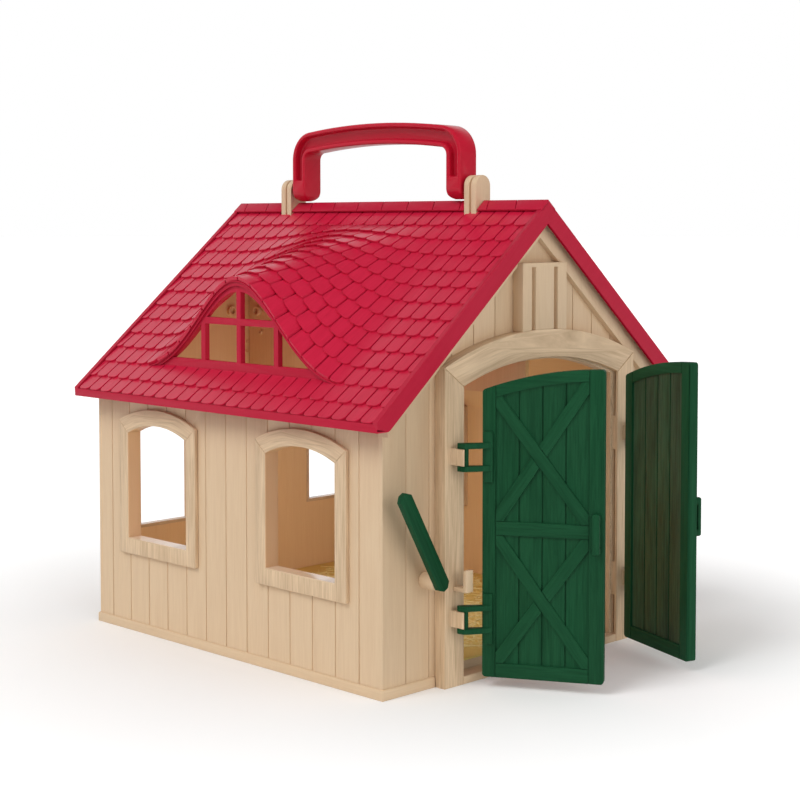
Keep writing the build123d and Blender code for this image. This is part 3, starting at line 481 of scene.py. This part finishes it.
red = grained_plastic("red_tile", (0.63, 0.014, 0.056), (0.56, 0.010, 0.044), 0.30, 0.00012, 900, 90)
red_plain, red_deck_painted_shade, red_under_painted_shade = [
    grained_plastic(name, colour, dark, roughness, 0.00003, 900, 90, gloss)
    for name, colour, dark, roughness, gloss in (
        ("red_rim", (0.52, 0.012, 0.044), (0.49, 0.010, 0.038), 0.45, 0.2),
        # the deck red is painted shade for the deep gaps between the tiles
        ("red_deck_painted_shade", (0.32, 0.004, 0.019), (0.28, 0.003, 0.016), 0.5, 0.1),
        # the undersides' red is a little darker, as painted shade, and has no gloss
        ("red_under_painted_shade", (0.48, 0.010, 0.036), (0.45, 0.009, 0.032), 0.6, 0.0),
    )
]

roof_low, roof_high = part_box("roof_left")
field_low, field_high = roof_low.y + rim_width, roof_high.y - rim_width
for node, hand in (("roof_left", -1), ("roof_right", 1)):
    slope = moulded(node, f"{node}_shell", 0, joined=False)
    eave = Vector((hand * cos(pitch), 0, -sin(pitch)))

    def down_slope_to(place):
        """How far down the slope a place lies from the ridge line."""
        return (place - Vector((0, place.y, ridge_height))).dot(eave)

    # edges where the eave's rim and the hood's lip begin
    cuts = [(Vector((0, 0, ridge_height)) + eave * eave_rim_start, eave)]
    if hand < 0:
        cuts.append(((lip_start, 0, 0), (1, 0, 0)))
    bpy.ops.object.mode_set(mode="EDIT")
    form = bmesh.from_edit_mesh(slope.data)
    for through, normal in cuts:
        whole = form.verts[:] + form.edges[:] + form.faces[:]
        bmesh.ops.bisect_plane(form, geom=whole, plane_co=through, plane_no=normal)
    bmesh.update_edit_mesh(slope.data)
    bpy.ops.object.mode_set(mode="OBJECT")

    # the field between the rims goes down to the deck
    for vertex in slope.data.vertices:
        place = vertex.co
        if not field_low - 0.0001 < place.y < field_high + 0.0001:
            continue
        lift = hood_lift(place.x, place.y) if hand < 0 else 0.0
        line = ridge_height - tan(pitch) * abs(place.x) + lift
        depth = (line - place.z) * cos(pitch)
        if abs(place.x) > course_start * cos(pitch) and courses_depth < depth < deck_depth:
            at_eave = down_slope_to(place) > eave_rim_start + 0.0005
            place.z = line - (eave_rim_depth if at_eave else deck_depth) / cos(pitch)

    # the eave's nose becomes an upright fascia
    for vertex in slope.data.vertices:
        if abs(vertex.co.x) > nose_start and vertex.co.z < nose_top:
            vertex.co.x = hand * fascia_reach

    # facets of the flat parts are joined, and all sharp edges rounded
    bpy.ops.object.mode_set(mode="EDIT")
    form = bmesh.from_edit_mesh(slope.data)
    flat_faces = [
        f for f in form.faces if hand > 0 or all(abs(v.co.y) > hood_margin for v in f.verts)
    ]
    bmesh.ops.dissolve_limit(
        form,
        angle_limit=radians(0.3),
        verts=list(dict.fromkeys(v for f in flat_faces for v in f.verts)),
        edges=list(dict.fromkeys(e for f in flat_faces for e in f.edges)),
    )
    bpy.ops.mesh.select_all(action="DESELECT")
    form = bmesh.from_edit_mesh(slope.data)
    for edge in form.edges:
        clear = hand > 0 or all(
            abs(v.co.y) > hood_margin or v.co.x < below_dormer for v in edge.verts
        )
        edge.select_set(clear and edge.is_manifold and edge.calc_face_angle() > radians(28))
    bmesh.update_edit_mesh(slope.data)
    bpy.ops.mesh.bevel(offset=slope_edge, segments=2, affect="EDGES", clamp_overlap=True)
    bpy.ops.object.mode_set(mode="OBJECT")
    bpy.ops.object.shade_smooth_by_angle(angle=radians(32))
    run_grain(slope, (0, 1, 0))
    for material in (red_plain, red_deck_painted_shade, red_under_painted_shade):
        slope.data.materials.append(material)
    for face in slope.data.polygons:
        in_field = field_low + 0.0004 < face.center.y < field_high - 0.0004
        on_lip = lip_end < face.center.x < lip_start and abs(face.center.y) < hood_half_width
        at_eave = down_slope_to(face.center) > eave_rim_start + 0.0003
        # faces turned downwards take the slightly darker red of painted shade
        if face.normal.z < -0.3 and not at_eave:
            face.material_index = 2
        # upward faces of the sunk field take the deck red of painted shade
        elif in_field and face.normal.z > 0.1 and not on_lip and not at_eave:
            face.material_index = 1

# ------------------------------------------------------------ roof tiles
# Thirteen courses of tiles cover each slope, every other course moved along by
# half a tile. A tile is a thin wedge with rounded lower corners, and over the
# dormer the courses rise with the hood, where the last one ends square at its edge.

tile_count = 24  # in a course
course_count = 13
hood_course = 10  # the course that ends at the hood's edge
hood_course_half_width = 0.068
tile_pitch = (roof_high.y - roof_low.y - 2 * rim_width) / tile_count
tile_width = tile_pitch - 0.00085
tile_rounding = 0.0024
tile_edge = 0.00022
tile_lip = 0.0010  # how far a tile reaches over the next course
tile_tuck = 0.0012  # how far a tile's upper end goes under the course above
tile_reach = course_pitch + tile_lip + tile_tuck
tile_blank = 0.0015  # thickness before the blank is drawn out to a wedge
top_at_lip = 0.00072  # depth of a tile's top under the roof's surface, at its lower end
tile_rise = 0.00105 / course_pitch
tip_spread, turn_spread = 0.008, 0.010  # radians


def wedge_tile(name, rounding):
    """One tile with its thick lower end at course_pitch + tile_lip along y."""
    bpy.ops.object.select_all(action="DESELECT")
    bpy.ops.mesh.primitive_plane_add(size=1)
    tile = bpy.context.object
    tile.name = name
    tile.scale = (tile_width, tile_reach, 1)
    bpy.ops.object.transform_apply(location=False, rotation=False, scale=True)
    bpy.ops.object.mode_set(mode="EDIT")
    if rounding:
        form = bmesh.from_edit_mesh(tile.data)
        for vertex in form.verts:
            vertex.select_set(vertex.co.y > 0)
        form.select_flush_mode()
        bpy.ops.mesh.bevel(offset=rounding, segments=4, affect="VERTICES", clamp_overlap=True)
    for cut in (-tile_width / 4, 0, tile_width / 4):
        bpy.ops.mesh.select_all(action="SELECT")
        bpy.ops.mesh.bisect(plane_co=(cut, 0, 0), plane_no=(1, 0, 0))
    bpy.ops.mesh.select_all(action="SELECT")
    bpy.ops.mesh.extrude_region_move(TRANSFORM_OT_translate={"value": (0, 0, tile_blank)})
    bpy.ops.mesh.select_all(action="SELECT")
    bpy.ops.mesh.normals_make_consistent(inside=False)
    bpy.ops.object.mode_set(mode="OBJECT")
    for vertex in tile.data.vertices:
        down = vertex.co.y - tile_reach / 2 + course_pitch + tile_lip
        vertex.co.y = down
        if vertex.co.z > tile_blank / 2:
            vertex.co.z = -top_at_lip - (course_pitch + tile_lip - down) * tile_rise
        else:
            vertex.co.z = -deck_depth - 0.0001
    round_edges(tile, tile_edge, 1)
    return tile


tile = wedge_tile("tile", tile_rounding)
square_tile = wedge_tile("square_tile", 0)
tile_chance = random.Random(11)
for name, hand in (("roof_tiles_left", -1), ("roof_tiles_right", 1)):
    down_slope = Vector((hand * cos(pitch), 0, -sin(pitch)))
    out_slope = Vector((hand * sin(pitch), 0, cos(pitch)))
    along = down_slope.cross(out_slope)
    field = bmesh.new()
    for course in range(course_count):
        shift = 0.5 if course % 2 else 0.0
        top = course_start + course * course_pitch
        for i in range(tile_count + (1 if shift else 0)):
            y = roof_low.y + rim_width + (i + 0.5 - shift) * tile_pitch
            on_edge = hand < 0 and course == hood_course and abs(y) < hood_course_half_width
            copy = (square_tile if on_edge else tile).data.copy()
            tip = Matrix.Rotation(tile_chance.uniform(-tip_spread, tip_spread), 4, "X")
            turn = Matrix.Rotation(tile_chance.uniform(-turn_spread, turn_spread), 4, "Y")
            copy.transform(tip @ turn)
            # a shifted course starts and ends with half a tile
            if shift and i in (0, tile_count):
                for vertex in copy.vertices:
                    edge = vertex.co.x * along.y
                    edge = max(edge, tile_edge) if i == 0 else min(edge, -tile_edge)
                    vertex.co.x = edge * along.y
            # the lowest course ends at the eave's rim
            if course == course_count - 1:
                for vertex in copy.vertices:
                    vertex.co.y *= course_pitch / (course_pitch + tile_lip)
            laid = Matrix(
                (
                    (along.x, down_slope.x, out_slope.x, down_slope.x * top),
                    (along.y, down_slope.y, out_slope.y, y),
                    (along.z, down_slope.z, out_slope.z, ridge_height + down_slope.z * top),
                    (0, 0, 0, 1),
                )
            )
            copy.transform(laid)
            for vertex in copy.vertices:
                if on_edge and vertex.co.x < -hood_edge:
                    vertex.co.z -= tan(pitch) * (vertex.co.x + hood_edge)
                    vertex.co.x = -hood_edge
                if hand < 0 and course <= hood_course:
                    vertex.co.z += hood_lift(max(vertex.co.x, -hood_edge), vertex.co.y)
            field.from_mesh(copy)
            bpy.data.meshes.remove(copy)
    mesh = bpy.data.meshes.new(name)
    field.to_mesh(mesh)
    field.free()
    tiles = bpy.data.objects.new(name, mesh)
    scene.collection.objects.link(tiles)
    bpy.ops.object.select_all(action="DESELECT")
    tiles.select_set(True)
    bpy.context.view_layer.objects.active = tiles
    bpy.ops.object.shade_smooth_by_angle(angle=radians(30))
    run_grain(tiles, down_slope)
    mesh.materials.append(red)
    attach(tiles, "barn")
bpy.data.objects.remove(tile)
bpy.data.objects.remove(square_tile)

# ------------------------------------------------------------ dormer window
# The window under the hood is one red moulding: a bottom rail, three upright bars,
# a crossbar and an arched head that follows the hood. It is not glazed.

window = moulded("dormer_window", "dormer_window_moulding", 0.0003)
run_grain(window, (0, 0, 1))
window.data.materials.append(red_plain)

# ------------------------------------------------------------ hood lining
# A thin red strip follows the underside of the dormer's hood, just inside the
# window, and closes the gap between the two. It is moulded with the slope.

lining_x = -0.0966
lining_half_width = 0.0700
lining_thickness = 0.0009
lining_drop = 0.0030
bpy.ops.object.select_all(action="DESELECT")
bpy.ops.mesh.primitive_grid_add(x_subdivisions=96, y_subdivisions=1, size=1, location=(0, 0, 0))
hood_lining = bpy.context.object
hood_lining.name = "hood_lining"
for vertex in hood_lining.data.vertices:
    across = vertex.co.x * 2 * lining_half_width
    surface = ridge_height + lining_x * tan(pitch) + hood_lift(lining_x, across)
    under = surface - deck_depth / cos(pitch)
    vertex.co = (lining_x, across, under - (0.5 - vertex.co.y) * lining_drop)
hood_lining.modifiers.new("thickness", "SOLIDIFY").thickness = lining_thickness
bpy.context.view_layer.objects.active = hood_lining
bpy.ops.object.modifier_apply(modifier="thickness")
run_grain(hood_lining, (0, 1, 0))
hood_lining.data.materials.append(red_plain)
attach(hood_lining, "barn")

# ------------------------------------------------------------ ridge caps
# Three red caps cover the ridge in front of, between and behind the handle's
# brackets. Each is moulded with slanting joints, like a row of bent ridge tiles.

joint_pitch, joint_shift = 0.0187, 0.004
joint_run, joint_slant = 0.0078, 0.0035
joint_width = joint_depth = 0.0005
joint_clear_front, joint_clear_back = 0.004, 0.002  # from a cap's ends
for node in ("ridge_cap_front", "ridge_cap_middle", "ridge_cap_back"):
    cap = moulded(node, f"{node}_moulding", 0.0003)
    low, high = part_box(node)
    for hand in (-1, 1):
        out_slope = Vector((hand * sin(pitch), 0, cos(pitch)))
        down_slope = Vector((hand * cos(pitch), 0, -sin(pitch)))
        crest = Vector((0, 0, high.z))
        strokes = []
        for i in range(-7, 8):
            y = i * joint_pitch - joint_shift
            if low.y + joint_clear_front < y < high.y - joint_clear_back:
                start = crest + Vector((0, y, 0)) - down_slope * 0.0003
                strokes.append((start, start + down_slope * joint_run - Vector((0, joint_slant, 0))))
        if strokes:
            score(cap, strokes, out_slope, joint_width, joint_depth)
    run_grain(cap, (0, 1, 0))
    cap.data.materials.append(red_plain)

# ------------------------------------------------------------ ridge panel
# A tan board stands in the loft under the ridge and carries the handle's brackets. Its tan is
# painted brighter as light from the dormer, and its ends darker as the gables' shade: painted light and
# shade.

# The loft's tan is painted brighter than the plastic, as light from the dormer, and the ends' darker
# tan is painted shade.
tan_painted_light = grained_plastic("tan_moulding_painted_light", (0.86, 0.59, 0.35), (0.80, 0.53, 0.30), 0.45, 0.00008)
tan_shade = grained_plastic("tan_painted_shade", (0.60, 0.34, 0.15), (0.56, 0.31, 0.13), 0.6, 0.00008, gloss=0.1)
shade_top = 0.2  # the panel's ends are in shade below this height
panel = moulded("ridge_panel", "ridge_panel_board", 0.0003)
run_grain(panel, (0, 0, 1))
panel.data.materials.append(tan_painted_light)
panel.data.materials.append(tan_shade)
# ends below shade_top take the darker tan of painted shade
for face in panel.data.polygons:
    face.material_index = 1 if abs(face.normal.y) > 0.5 and face.center.z < shade_top else 0

# ------------------------------------------------------------ loft bosses
# Small round screw bosses of tan plastic stand on the ridge panel and on the back
# gable's inner face. Each is moulded with a hole down its middle.

wall_share = 0.42  # width of a boss's wall, as a share of its radius
hole_share = 0.9  # depth of its hole, as a share of its height
boss_edge = 0.00015
bpy.ops.object.select_all(action="DESELECT")
bosses = []
for place, out, size, height in (
    ((-0.0012, 0.0977, 0.1643), (-1, 0, 0), 0.0029, 0.0024),
    ((-0.0145, 0.1067, 0.1644), (0, -1, 0), 0.0029, 0.0024),
    ((-0.0012, 0.0954, 0.1523), (-1, 0, 0), 0.0014, 0.0012),
    ((-0.0021, 0.1067, 0.1462), (0, -1, 0), 0.0010, 0.0009),
    ((-0.0025, 0.1067, 0.1410), (0, -1, 0), 0.0010, 0.0009),
):
    out = Vector(out)
    bpy.ops.mesh.primitive_cylinder_add(
        vertices=28, radius=size, depth=height, location=Vector(place) + out * height / 2
    )
    boss = bpy.context.object
    boss.rotation_euler = out.to_track_quat("Z", "Y").to_euler()
    bpy.ops.object.mode_set(mode="EDIT")
    form = bmesh.from_edit_mesh(boss.data)
    bpy.ops.mesh.select_all(action="DESELECT")
    for face in form.faces:
        face.select_set(face.normal.z > 0.5)
    bmesh.update_edit_mesh(boss.data)
    bpy.ops.mesh.inset(thickness=size * wall_share)
    bpy.ops.mesh.extrude_region_move(TRANSFORM_OT_translate={"value": -out * height * hole_share})
    bpy.ops.object.mode_set(mode="OBJECT")
    bosses.append(boss)
for boss in bosses:
    boss.select_set(True)
bpy.ops.object.join()
loft_bosses = bpy.context.object
loft_bosses.name = "loft_bosses"
bpy.ops.object.transform_apply()
round_edges(loft_bosses, boss_edge, 1)
bpy.ops.object.shade_smooth_by_angle(angle=radians(32))
# the bosses take the loft's tan, painted brighter as light from the dormer
loft_bosses.data.materials.append(tan_painted_light)
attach(loft_bosses, "barn")

# ------------------------------------------------------------ panel screws
# Two zinc-plated steel screws with slotted heads hold the ridge panel, one near
# each gable.

steel = bpy.data.materials.new("turned_steel")
steel.use_nodes = True
steel_shader = steel.node_tree.nodes["Principled BSDF"]
steel_shader.inputs["Metallic"].default_value = 1.0
steel_shader.inputs["Roughness"].default_value = 0.3
steel_shader.inputs["Base Color"].default_value = (0.6, 0.6, 0.6, 1)
for node in ("front_panel_screw", "back_panel_screw"):
    screw = moulded(node, f"{node}_turned", 0)
    screw.data.materials.append(steel)

# ------------------------------------------------------------ carry handle
# A red handle, moulded with a recess along each side, swings on pins in its feet.
# The pins sit in two cream brackets, which look like pairs of boards and stand on
# the ridge panel.

for node in ("front_handle_bracket", "back_handle_bracket"):
    bracket = moulded(node, f"{node}_moulding", 0.0005, 3)
    run_grain(bracket, (0, 0, 1))
    bracket.data.materials.append(cream)

red_smooth = grained_plastic(
    "red_handle", (0.56, 0.008, 0.032), (0.53, 0.007, 0.028), 0.3, 0.00001, gloss=0.3
)
handle_edge, pin_edge = 0.0010, 0.0003
for node in ("carry_handle", "front_handle_pin", "back_handle_pin"):
    edge = handle_edge if node == "carry_handle" else pin_edge
    grip = moulded(node, f"{node}_moulding", edge, 3)
    run_grain(grip, (0, 1, 0))
    grip.data.materials.append(red_smooth)

# ------------------------------------------------------------ doors
# Each door is one green moulding that looks like four boards in a frame. Joint
# lines divide the frame, and of the crossed braces one runs over the other.
# The pull and the two hinges are mouldings of their own.

green = grained_plastic(
    "green_moulding", (0.011, 0.080, 0.032), (0.005, 0.050, 0.019), 0.50, 0.00024, 1100, 50, 0.12
)
green_boards = grained_plastic(
    "green_boards", (0.036, 0.098, 0.048), (0.012, 0.034, 0.016), 0.45, 0.0006, 700, 50, 0.3
)
pin_x, pin_y = 0.0634, -0.1225
leaf_face, leaf_thickness = 0.0053, 0.00475  # the outer face lies behind the pin
leaf_start, leaf_end = 0.0065, 0.0629  # from the pin, as s is everywhere below
stile_in, stile_out = leaf_start + 0.0062, leaf_end - 0.0070
stile_bottom, stile_top = 0.0045, 0.1500
rail_low, rail_high, sill = 0.0715, 0.0779, 0.0120
head_gap, head_rail = 0.0012, 0.0053
brace_half_width = 0.00285
corner_joint = 0.008
board_sink = 0.0010
seam_width = seam_depth = 0.0004
frame_outer, frame_inner = 0.0009, 0.0039  # the frame's faces lie less deep, and deeper
boards_inner = 0.0029  # the boards' inner face lies deeper than this
brace_outer, brace_reach = 0.0007, 0.0029
board_groove_width, board_groove_depth = 0.0005, 0.0006
arch_radius = (doorway_half_width**2 + doorway_rise**2) / (2 * doorway_rise)
arch_centre = doorway_spring + doorway_rise - arch_radius


def head_at(s):
    """Height of the underside of a door's top rail at a distance from its hinge pin."""
    return arch_centre + sqrt((arch_radius - head_gap - head_rail) ** 2 - (pin_x - s) ** 2)


panels = ((sill, lambda s: rail_low), (rail_high, head_at))
for side, hand, angle in (("left", 1, radians(60.5)), ("right", -1, radians(69.7))):
    pin = Vector((-hand * pin_x, pin_y, 0))
    reach = Vector((cos(angle), -hand * sin(angle), 0)) * hand
    outward = Vector((-hand * sin(angle), -cos(angle), 0))
    leaf = moulded(f"{side}_door_leaf", f"{side}_door_leaf_moulding", 0.0003)
    outer_face = pin - outward * leaf_face
    inner_face = outer_face - outward * leaf_thickness
    outer_sunk, inner_sunk = outer_face - outward * board_sink, inner_face + outward * board_sink

    def on_face(lines, face):
        """Lines given in distance from the pin and height, laid on one of the leaf's faces."""
        return [[face + reach * s + Vector((0, 0, z)) for s, z in line] for line in lines]

    # joints between the stiles, the rails and the braces
    strokes = []
    for s in (stile_in, stile_out):
        strokes.append(((s, stile_bottom), (s, stile_top)))
    for low_edge, top_edge in panels:
        first = Vector((stile_in, top_edge(stile_in)))
        last = Vector((stile_out, low_edge))
        run = (last - first).normalized()
        normal = Vector((-run.y, run.x))
        for edge in (-1, 1):
            base = first + normal * edge * brace_half_width
            begin = max((stile_in - base.x) / run.x, (top_edge(stile_in) - base.y) / run.y)
            finish = min((stile_out - base.x) / run.x, (low_edge - base.y) / run.y)
            strokes.append((base + run * begin, base + run * finish))
        for s, away in ((stile_in, 1), (stile_out, -1)):
            for z in (low_edge, top_edge(s)):
                tilt = (top_edge(s + away * corner_joint) - top_edge(s)) if z != low_edge else 0.0
                strokes.append(((s, z), (s + away * corner_joint, z + tilt)))
    score(leaf, on_face(strokes, outer_face), outward, seam_width, seam_depth)
    score(leaf, on_face(strokes[:2], inner_face), -outward, seam_width, seam_depth)

    # grooves between the four boards, broken by the middle rail on the outside
    outer_grooves, inner_grooves = [], []
    for i in (1, 2, 3):
        s = stile_in + i * (stile_out - stile_in) / 4
        bottom, top = sill + 0.0001, head_at(s) - 0.0002
        outer_grooves.append(((s, bottom), (s, rail_low - 0.0001)))
        outer_grooves.append(((s, rail_high + 0.0001), (s, top)))
        inner_grooves.append(((s, bottom), (s, top)))
    groove_size = board_groove_width, board_groove_depth
    score(leaf, on_face(outer_grooves, outer_sunk), outward, *groove_size)
    score(leaf, on_face(inner_grooves, inner_sunk), -outward, *groove_size)
    run_grain(leaf, (0, 0, 1))

    def leaf_place(p):
        """A point of the door, as out from the hinge pin, up, and in from the outer face."""
        return (p - pin).dot(reach), p.z, -(p - outer_face).dot(outward)

    def on_rail(p):
        """Whether a point lies on a face of the sill rail, the middle rail or the head rail."""
        s, z, deep = leaf_place(p)
        on_surface = deep < frame_outer or deep > frame_inner
        at_height = z < sill or rail_low < z < rail_high or z > head_at(s)
        return on_surface and stile_in < s < stile_out and at_height

    run_grain(leaf, reach, on_rail)
    for low_edge, top_edge in panels:
        for first, last in (
            ((stile_in, low_edge), (stile_out, top_edge(stile_out))),
            ((stile_in, top_edge(stile_in)), (stile_out, low_edge)),
        ):
            run = Vector((last[0] - first[0], last[1] - first[1])).normalized()

            def on_brace(p, first=first, run=run, low_edge=low_edge, top_edge=top_edge):
                """Whether a point lies on the outer face of the brace in hand."""
                s, z, deep = leaf_place(p)
                off = abs((s - first[0]) * run.y - (z - first[1]) * run.x)
                in_panel = stile_in < s < stile_out and low_edge < z < top_edge(s)
                return deep < brace_outer and off < brace_reach and in_panel

            run_grain(leaf, reach * run.x + Vector((0, 0, run.y)), on_brace)
    leaf.data.materials.append(green)
    leaf.data.materials.append(green_boards)
    for face in leaf.data.polygons:
        s, z, deep = leaf_place(face.center)
        between = stile_in < s < stile_out and sill < z < head_at(s)
        on_boards = between and boards_inner < deep < frame_inner
        face.material_index = 1 if on_boards and face.normal.dot(outward) < -0.5 else 0
    for part, edge in (("door_pull", 0.0006), ("lower_hinge", 0.0003), ("upper_hinge", 0.0003)):
        piece = moulded(f"{side}_{part}", f"{side}_{part}_moulding", edge)
        run_grain(piece, (0, 0, 1))
        piece.data.materials.append(green)

# ------------------------------------------------------------ latch bar
# A green bar turns on a cream boss beside the doorway and drops into a hook, so
# that it holds the doors shut. It has the same sawn grain as the doors.

latch_lean = radians(29.8)
latch = moulded("latch_bar", "latch_bar_moulding", 0.0006)
run_grain(latch, (-sin(latch_lean), 0, cos(latch_lean)))
latch.data.materials.append(green)

# ------------------------------------------------------------ studio floor
# A plain sheet of white paper, which keeps the barn's shadow. To the camera it
# glows a little, more so further out, and fades into the white background there; the weaker glow close
# to the barn is painted shade round it.

bpy.ops.object.select_all(action="DESELECT")
bpy.ops.mesh.primitive_plane_add(size=40, location=(0, 0, 0))
floor = bpy.context.object
floor.name = "studio_floor"
paper = bpy.data.materials.new("white_paper")
paper.use_nodes = True
paper_nodes = paper.node_tree.nodes
paper_link = paper.node_tree.links.new
paper_shader = paper_nodes["Principled BSDF"]
paper_shader.inputs["Base Color"].default_value = (0.94, 0.94, 0.94, 1)
paper_shader.inputs["Roughness"].default_value = 1.0
paper_shader.inputs["Specular IOR Level"].default_value = 0.0
seen = paper_nodes.new("ShaderNodeLightPath")
shine = paper_nodes.new("ShaderNodeMath")
shine.operation = "MULTIPLY"
paper_place = paper_nodes.new("ShaderNodeTexCoord")
paper_reach = paper_nodes.new("ShaderNodeVectorMath")
paper_reach.operation = "LENGTH"
paper_link(paper_place.outputs["Object"], paper_reach.inputs[0])
# close to the barn the glow is weaker: painted shade round the barn
paper_glow_and_painted_shade = paper_nodes.new("ShaderNodeMapRange")
paper_glow_and_painted_shade.inputs["From Min"].default_value = 0.12
paper_glow_and_painted_shade.inputs["From Max"].default_value = 0.32
paper_glow_and_painted_shade.inputs["To Min"].default_value = 0.05
paper_glow_and_painted_shade.inputs["To Max"].default_value = 0.38
paper_link(paper_reach.outputs["Value"], paper_glow_and_painted_shade.inputs["Value"])
paper_link(paper_glow_and_painted_shade.outputs["Result"], shine.inputs[1])
paper_link(seen.outputs["Is Camera Ray"], shine.inputs[0])
paper_shader.inputs["Emission Color"].default_value = (1, 1, 1, 1)
paper_link(shine.outputs[0], paper_shader.inputs["Emission Strength"])
floor.data.materials.append(paper)

# ------------------------------------------------------------ surroundings
# White to the camera, and an even pale light on the barn. Shiny surfaces see them
# bright behind the barn and dark behind the camera and overhead.

world = bpy.data.worlds.new("studio")
scene.world = world
world.use_nodes = True
world.cycles.sampling_method = "NONE"
world_nodes = world.node_tree.nodes
world_link = world.node_tree.links.new
sky = world_nodes["Background"]
rays = world_nodes.new("ShaderNodeLightPath")
where = world_nodes.new("ShaderNodeTexCoord")
behind_barn = world_nodes.new("ShaderNodeVectorMath")
behind_barn.operation = "DOT_PRODUCT"
behind_barn.inputs[1].default_value = (0.45, 0.89, 0.0)
world_link(where.outputs["Generated"], behind_barn.inputs[0])
mirrored = world_nodes.new("ShaderNodeMapRange")
mirrored.inputs["From Min"].default_value = 0.0
mirrored.inputs["From Max"].default_value = 0.6
mirrored.inputs["To Min"].default_value = 0.10
mirrored.inputs["To Max"].default_value = 1.0
world_link(behind_barn.outputs["Value"], mirrored.inputs["Value"])
height = world_nodes.new("ShaderNodeSeparateXYZ")
world_link(where.outputs["Generated"], height.inputs["Vector"])
overhead = world_nodes.new("ShaderNodeMapRange")
overhead.inputs["From Min"].default_value = 0.61
overhead.inputs["From Max"].default_value = 0.72
overhead.inputs["To Min"].default_value = 1.0
overhead.inputs["To Max"].default_value = 0.08
world_link(height.outputs["Z"], overhead.inputs["Value"])
dimmed = world_nodes.new("ShaderNodeMath")
dimmed.operation = "MULTIPLY"
world_link(mirrored.outputs["Result"], dimmed.inputs[0])
world_link(overhead.outputs["Result"], dimmed.inputs[1])
direct = world_nodes.new("ShaderNodeMix")
direct.data_type = "FLOAT"
direct.inputs["A"].default_value = 0.43
world_link(rays.outputs["Is Glossy Ray"], direct.inputs["Factor"])
world_link(dimmed.outputs["Value"], direct.inputs["B"])
level = world_nodes.new("ShaderNodeMix")
level.data_type = "FLOAT"
level.inputs["B"].default_value = 1.0
world_link(rays.outputs["Is Camera Ray"], level.inputs["Factor"])
world_link(direct.outputs["Result"], level.inputs["A"])
world_link(level.outputs["Result"], sky.inputs["Strength"])
sky.inputs["Color"].default_value = (1, 1, 1, 1)

# ------------------------------------------------------------ lamps
# A broad key light from the upper left, a softer fill from in front of the doors,
# and two weak warm glows inside, on the ground floor and in the loft.


def lamp(name, kind, energy):
    """A lamp that shiny surfaces don't mirror."""
    light = bpy.data.lights.new(name, kind)
    light.energy = energy
    holder = bpy.data.objects.new(name, light)
    scene.collection.objects.link(holder)
    holder.visible_glossy = False
    return holder


for name, power, spread, towards in (
    ("key", 1.32, 32, (-0.68, 0.05, 0.72)),
    ("fill", 1.19, 60, (-0.04, -0.97, 0.20)),
):
    sun = lamp(name, "SUN", power)
    sun.data.angle = radians(spread)
    sun.rotation_euler = Vector(towards).to_track_quat("Z", "Y").to_euler()
for name, power, place in (
    ("room_glow", 0.055, (0, 0, 0.075)),
    ("loft_glow", 0.028, (-0.045, 0, 0.150)),
):
    glow = lamp(name, "POINT", power)
    glow.location = place
    glow.data.shadow_soft_size = 0.02
    glow.data.color = (1.0, 0.93, 0.84)

# ------------------------------------------------------------ camera
# A long lens off the left front corner, just below the ridge's height. It is tipped
# down three degrees and shifted, so that upright edges stay nearly upright.

camera = bpy.data.cameras.new("camera")
camera.lens = 75.79
camera.sensor_width = 36
camera.shift_y = -0.1109
viewer = bpy.data.objects.new("camera", camera)
scene.collection.objects.link(viewer)
viewer.location = (-0.62531, -0.64344, 0.21467)
viewer.rotation_euler = (radians(90 - 3), 0, radians(-44.906))
scene.camera = viewer
scene.view_settings.view_transform = "Standard"
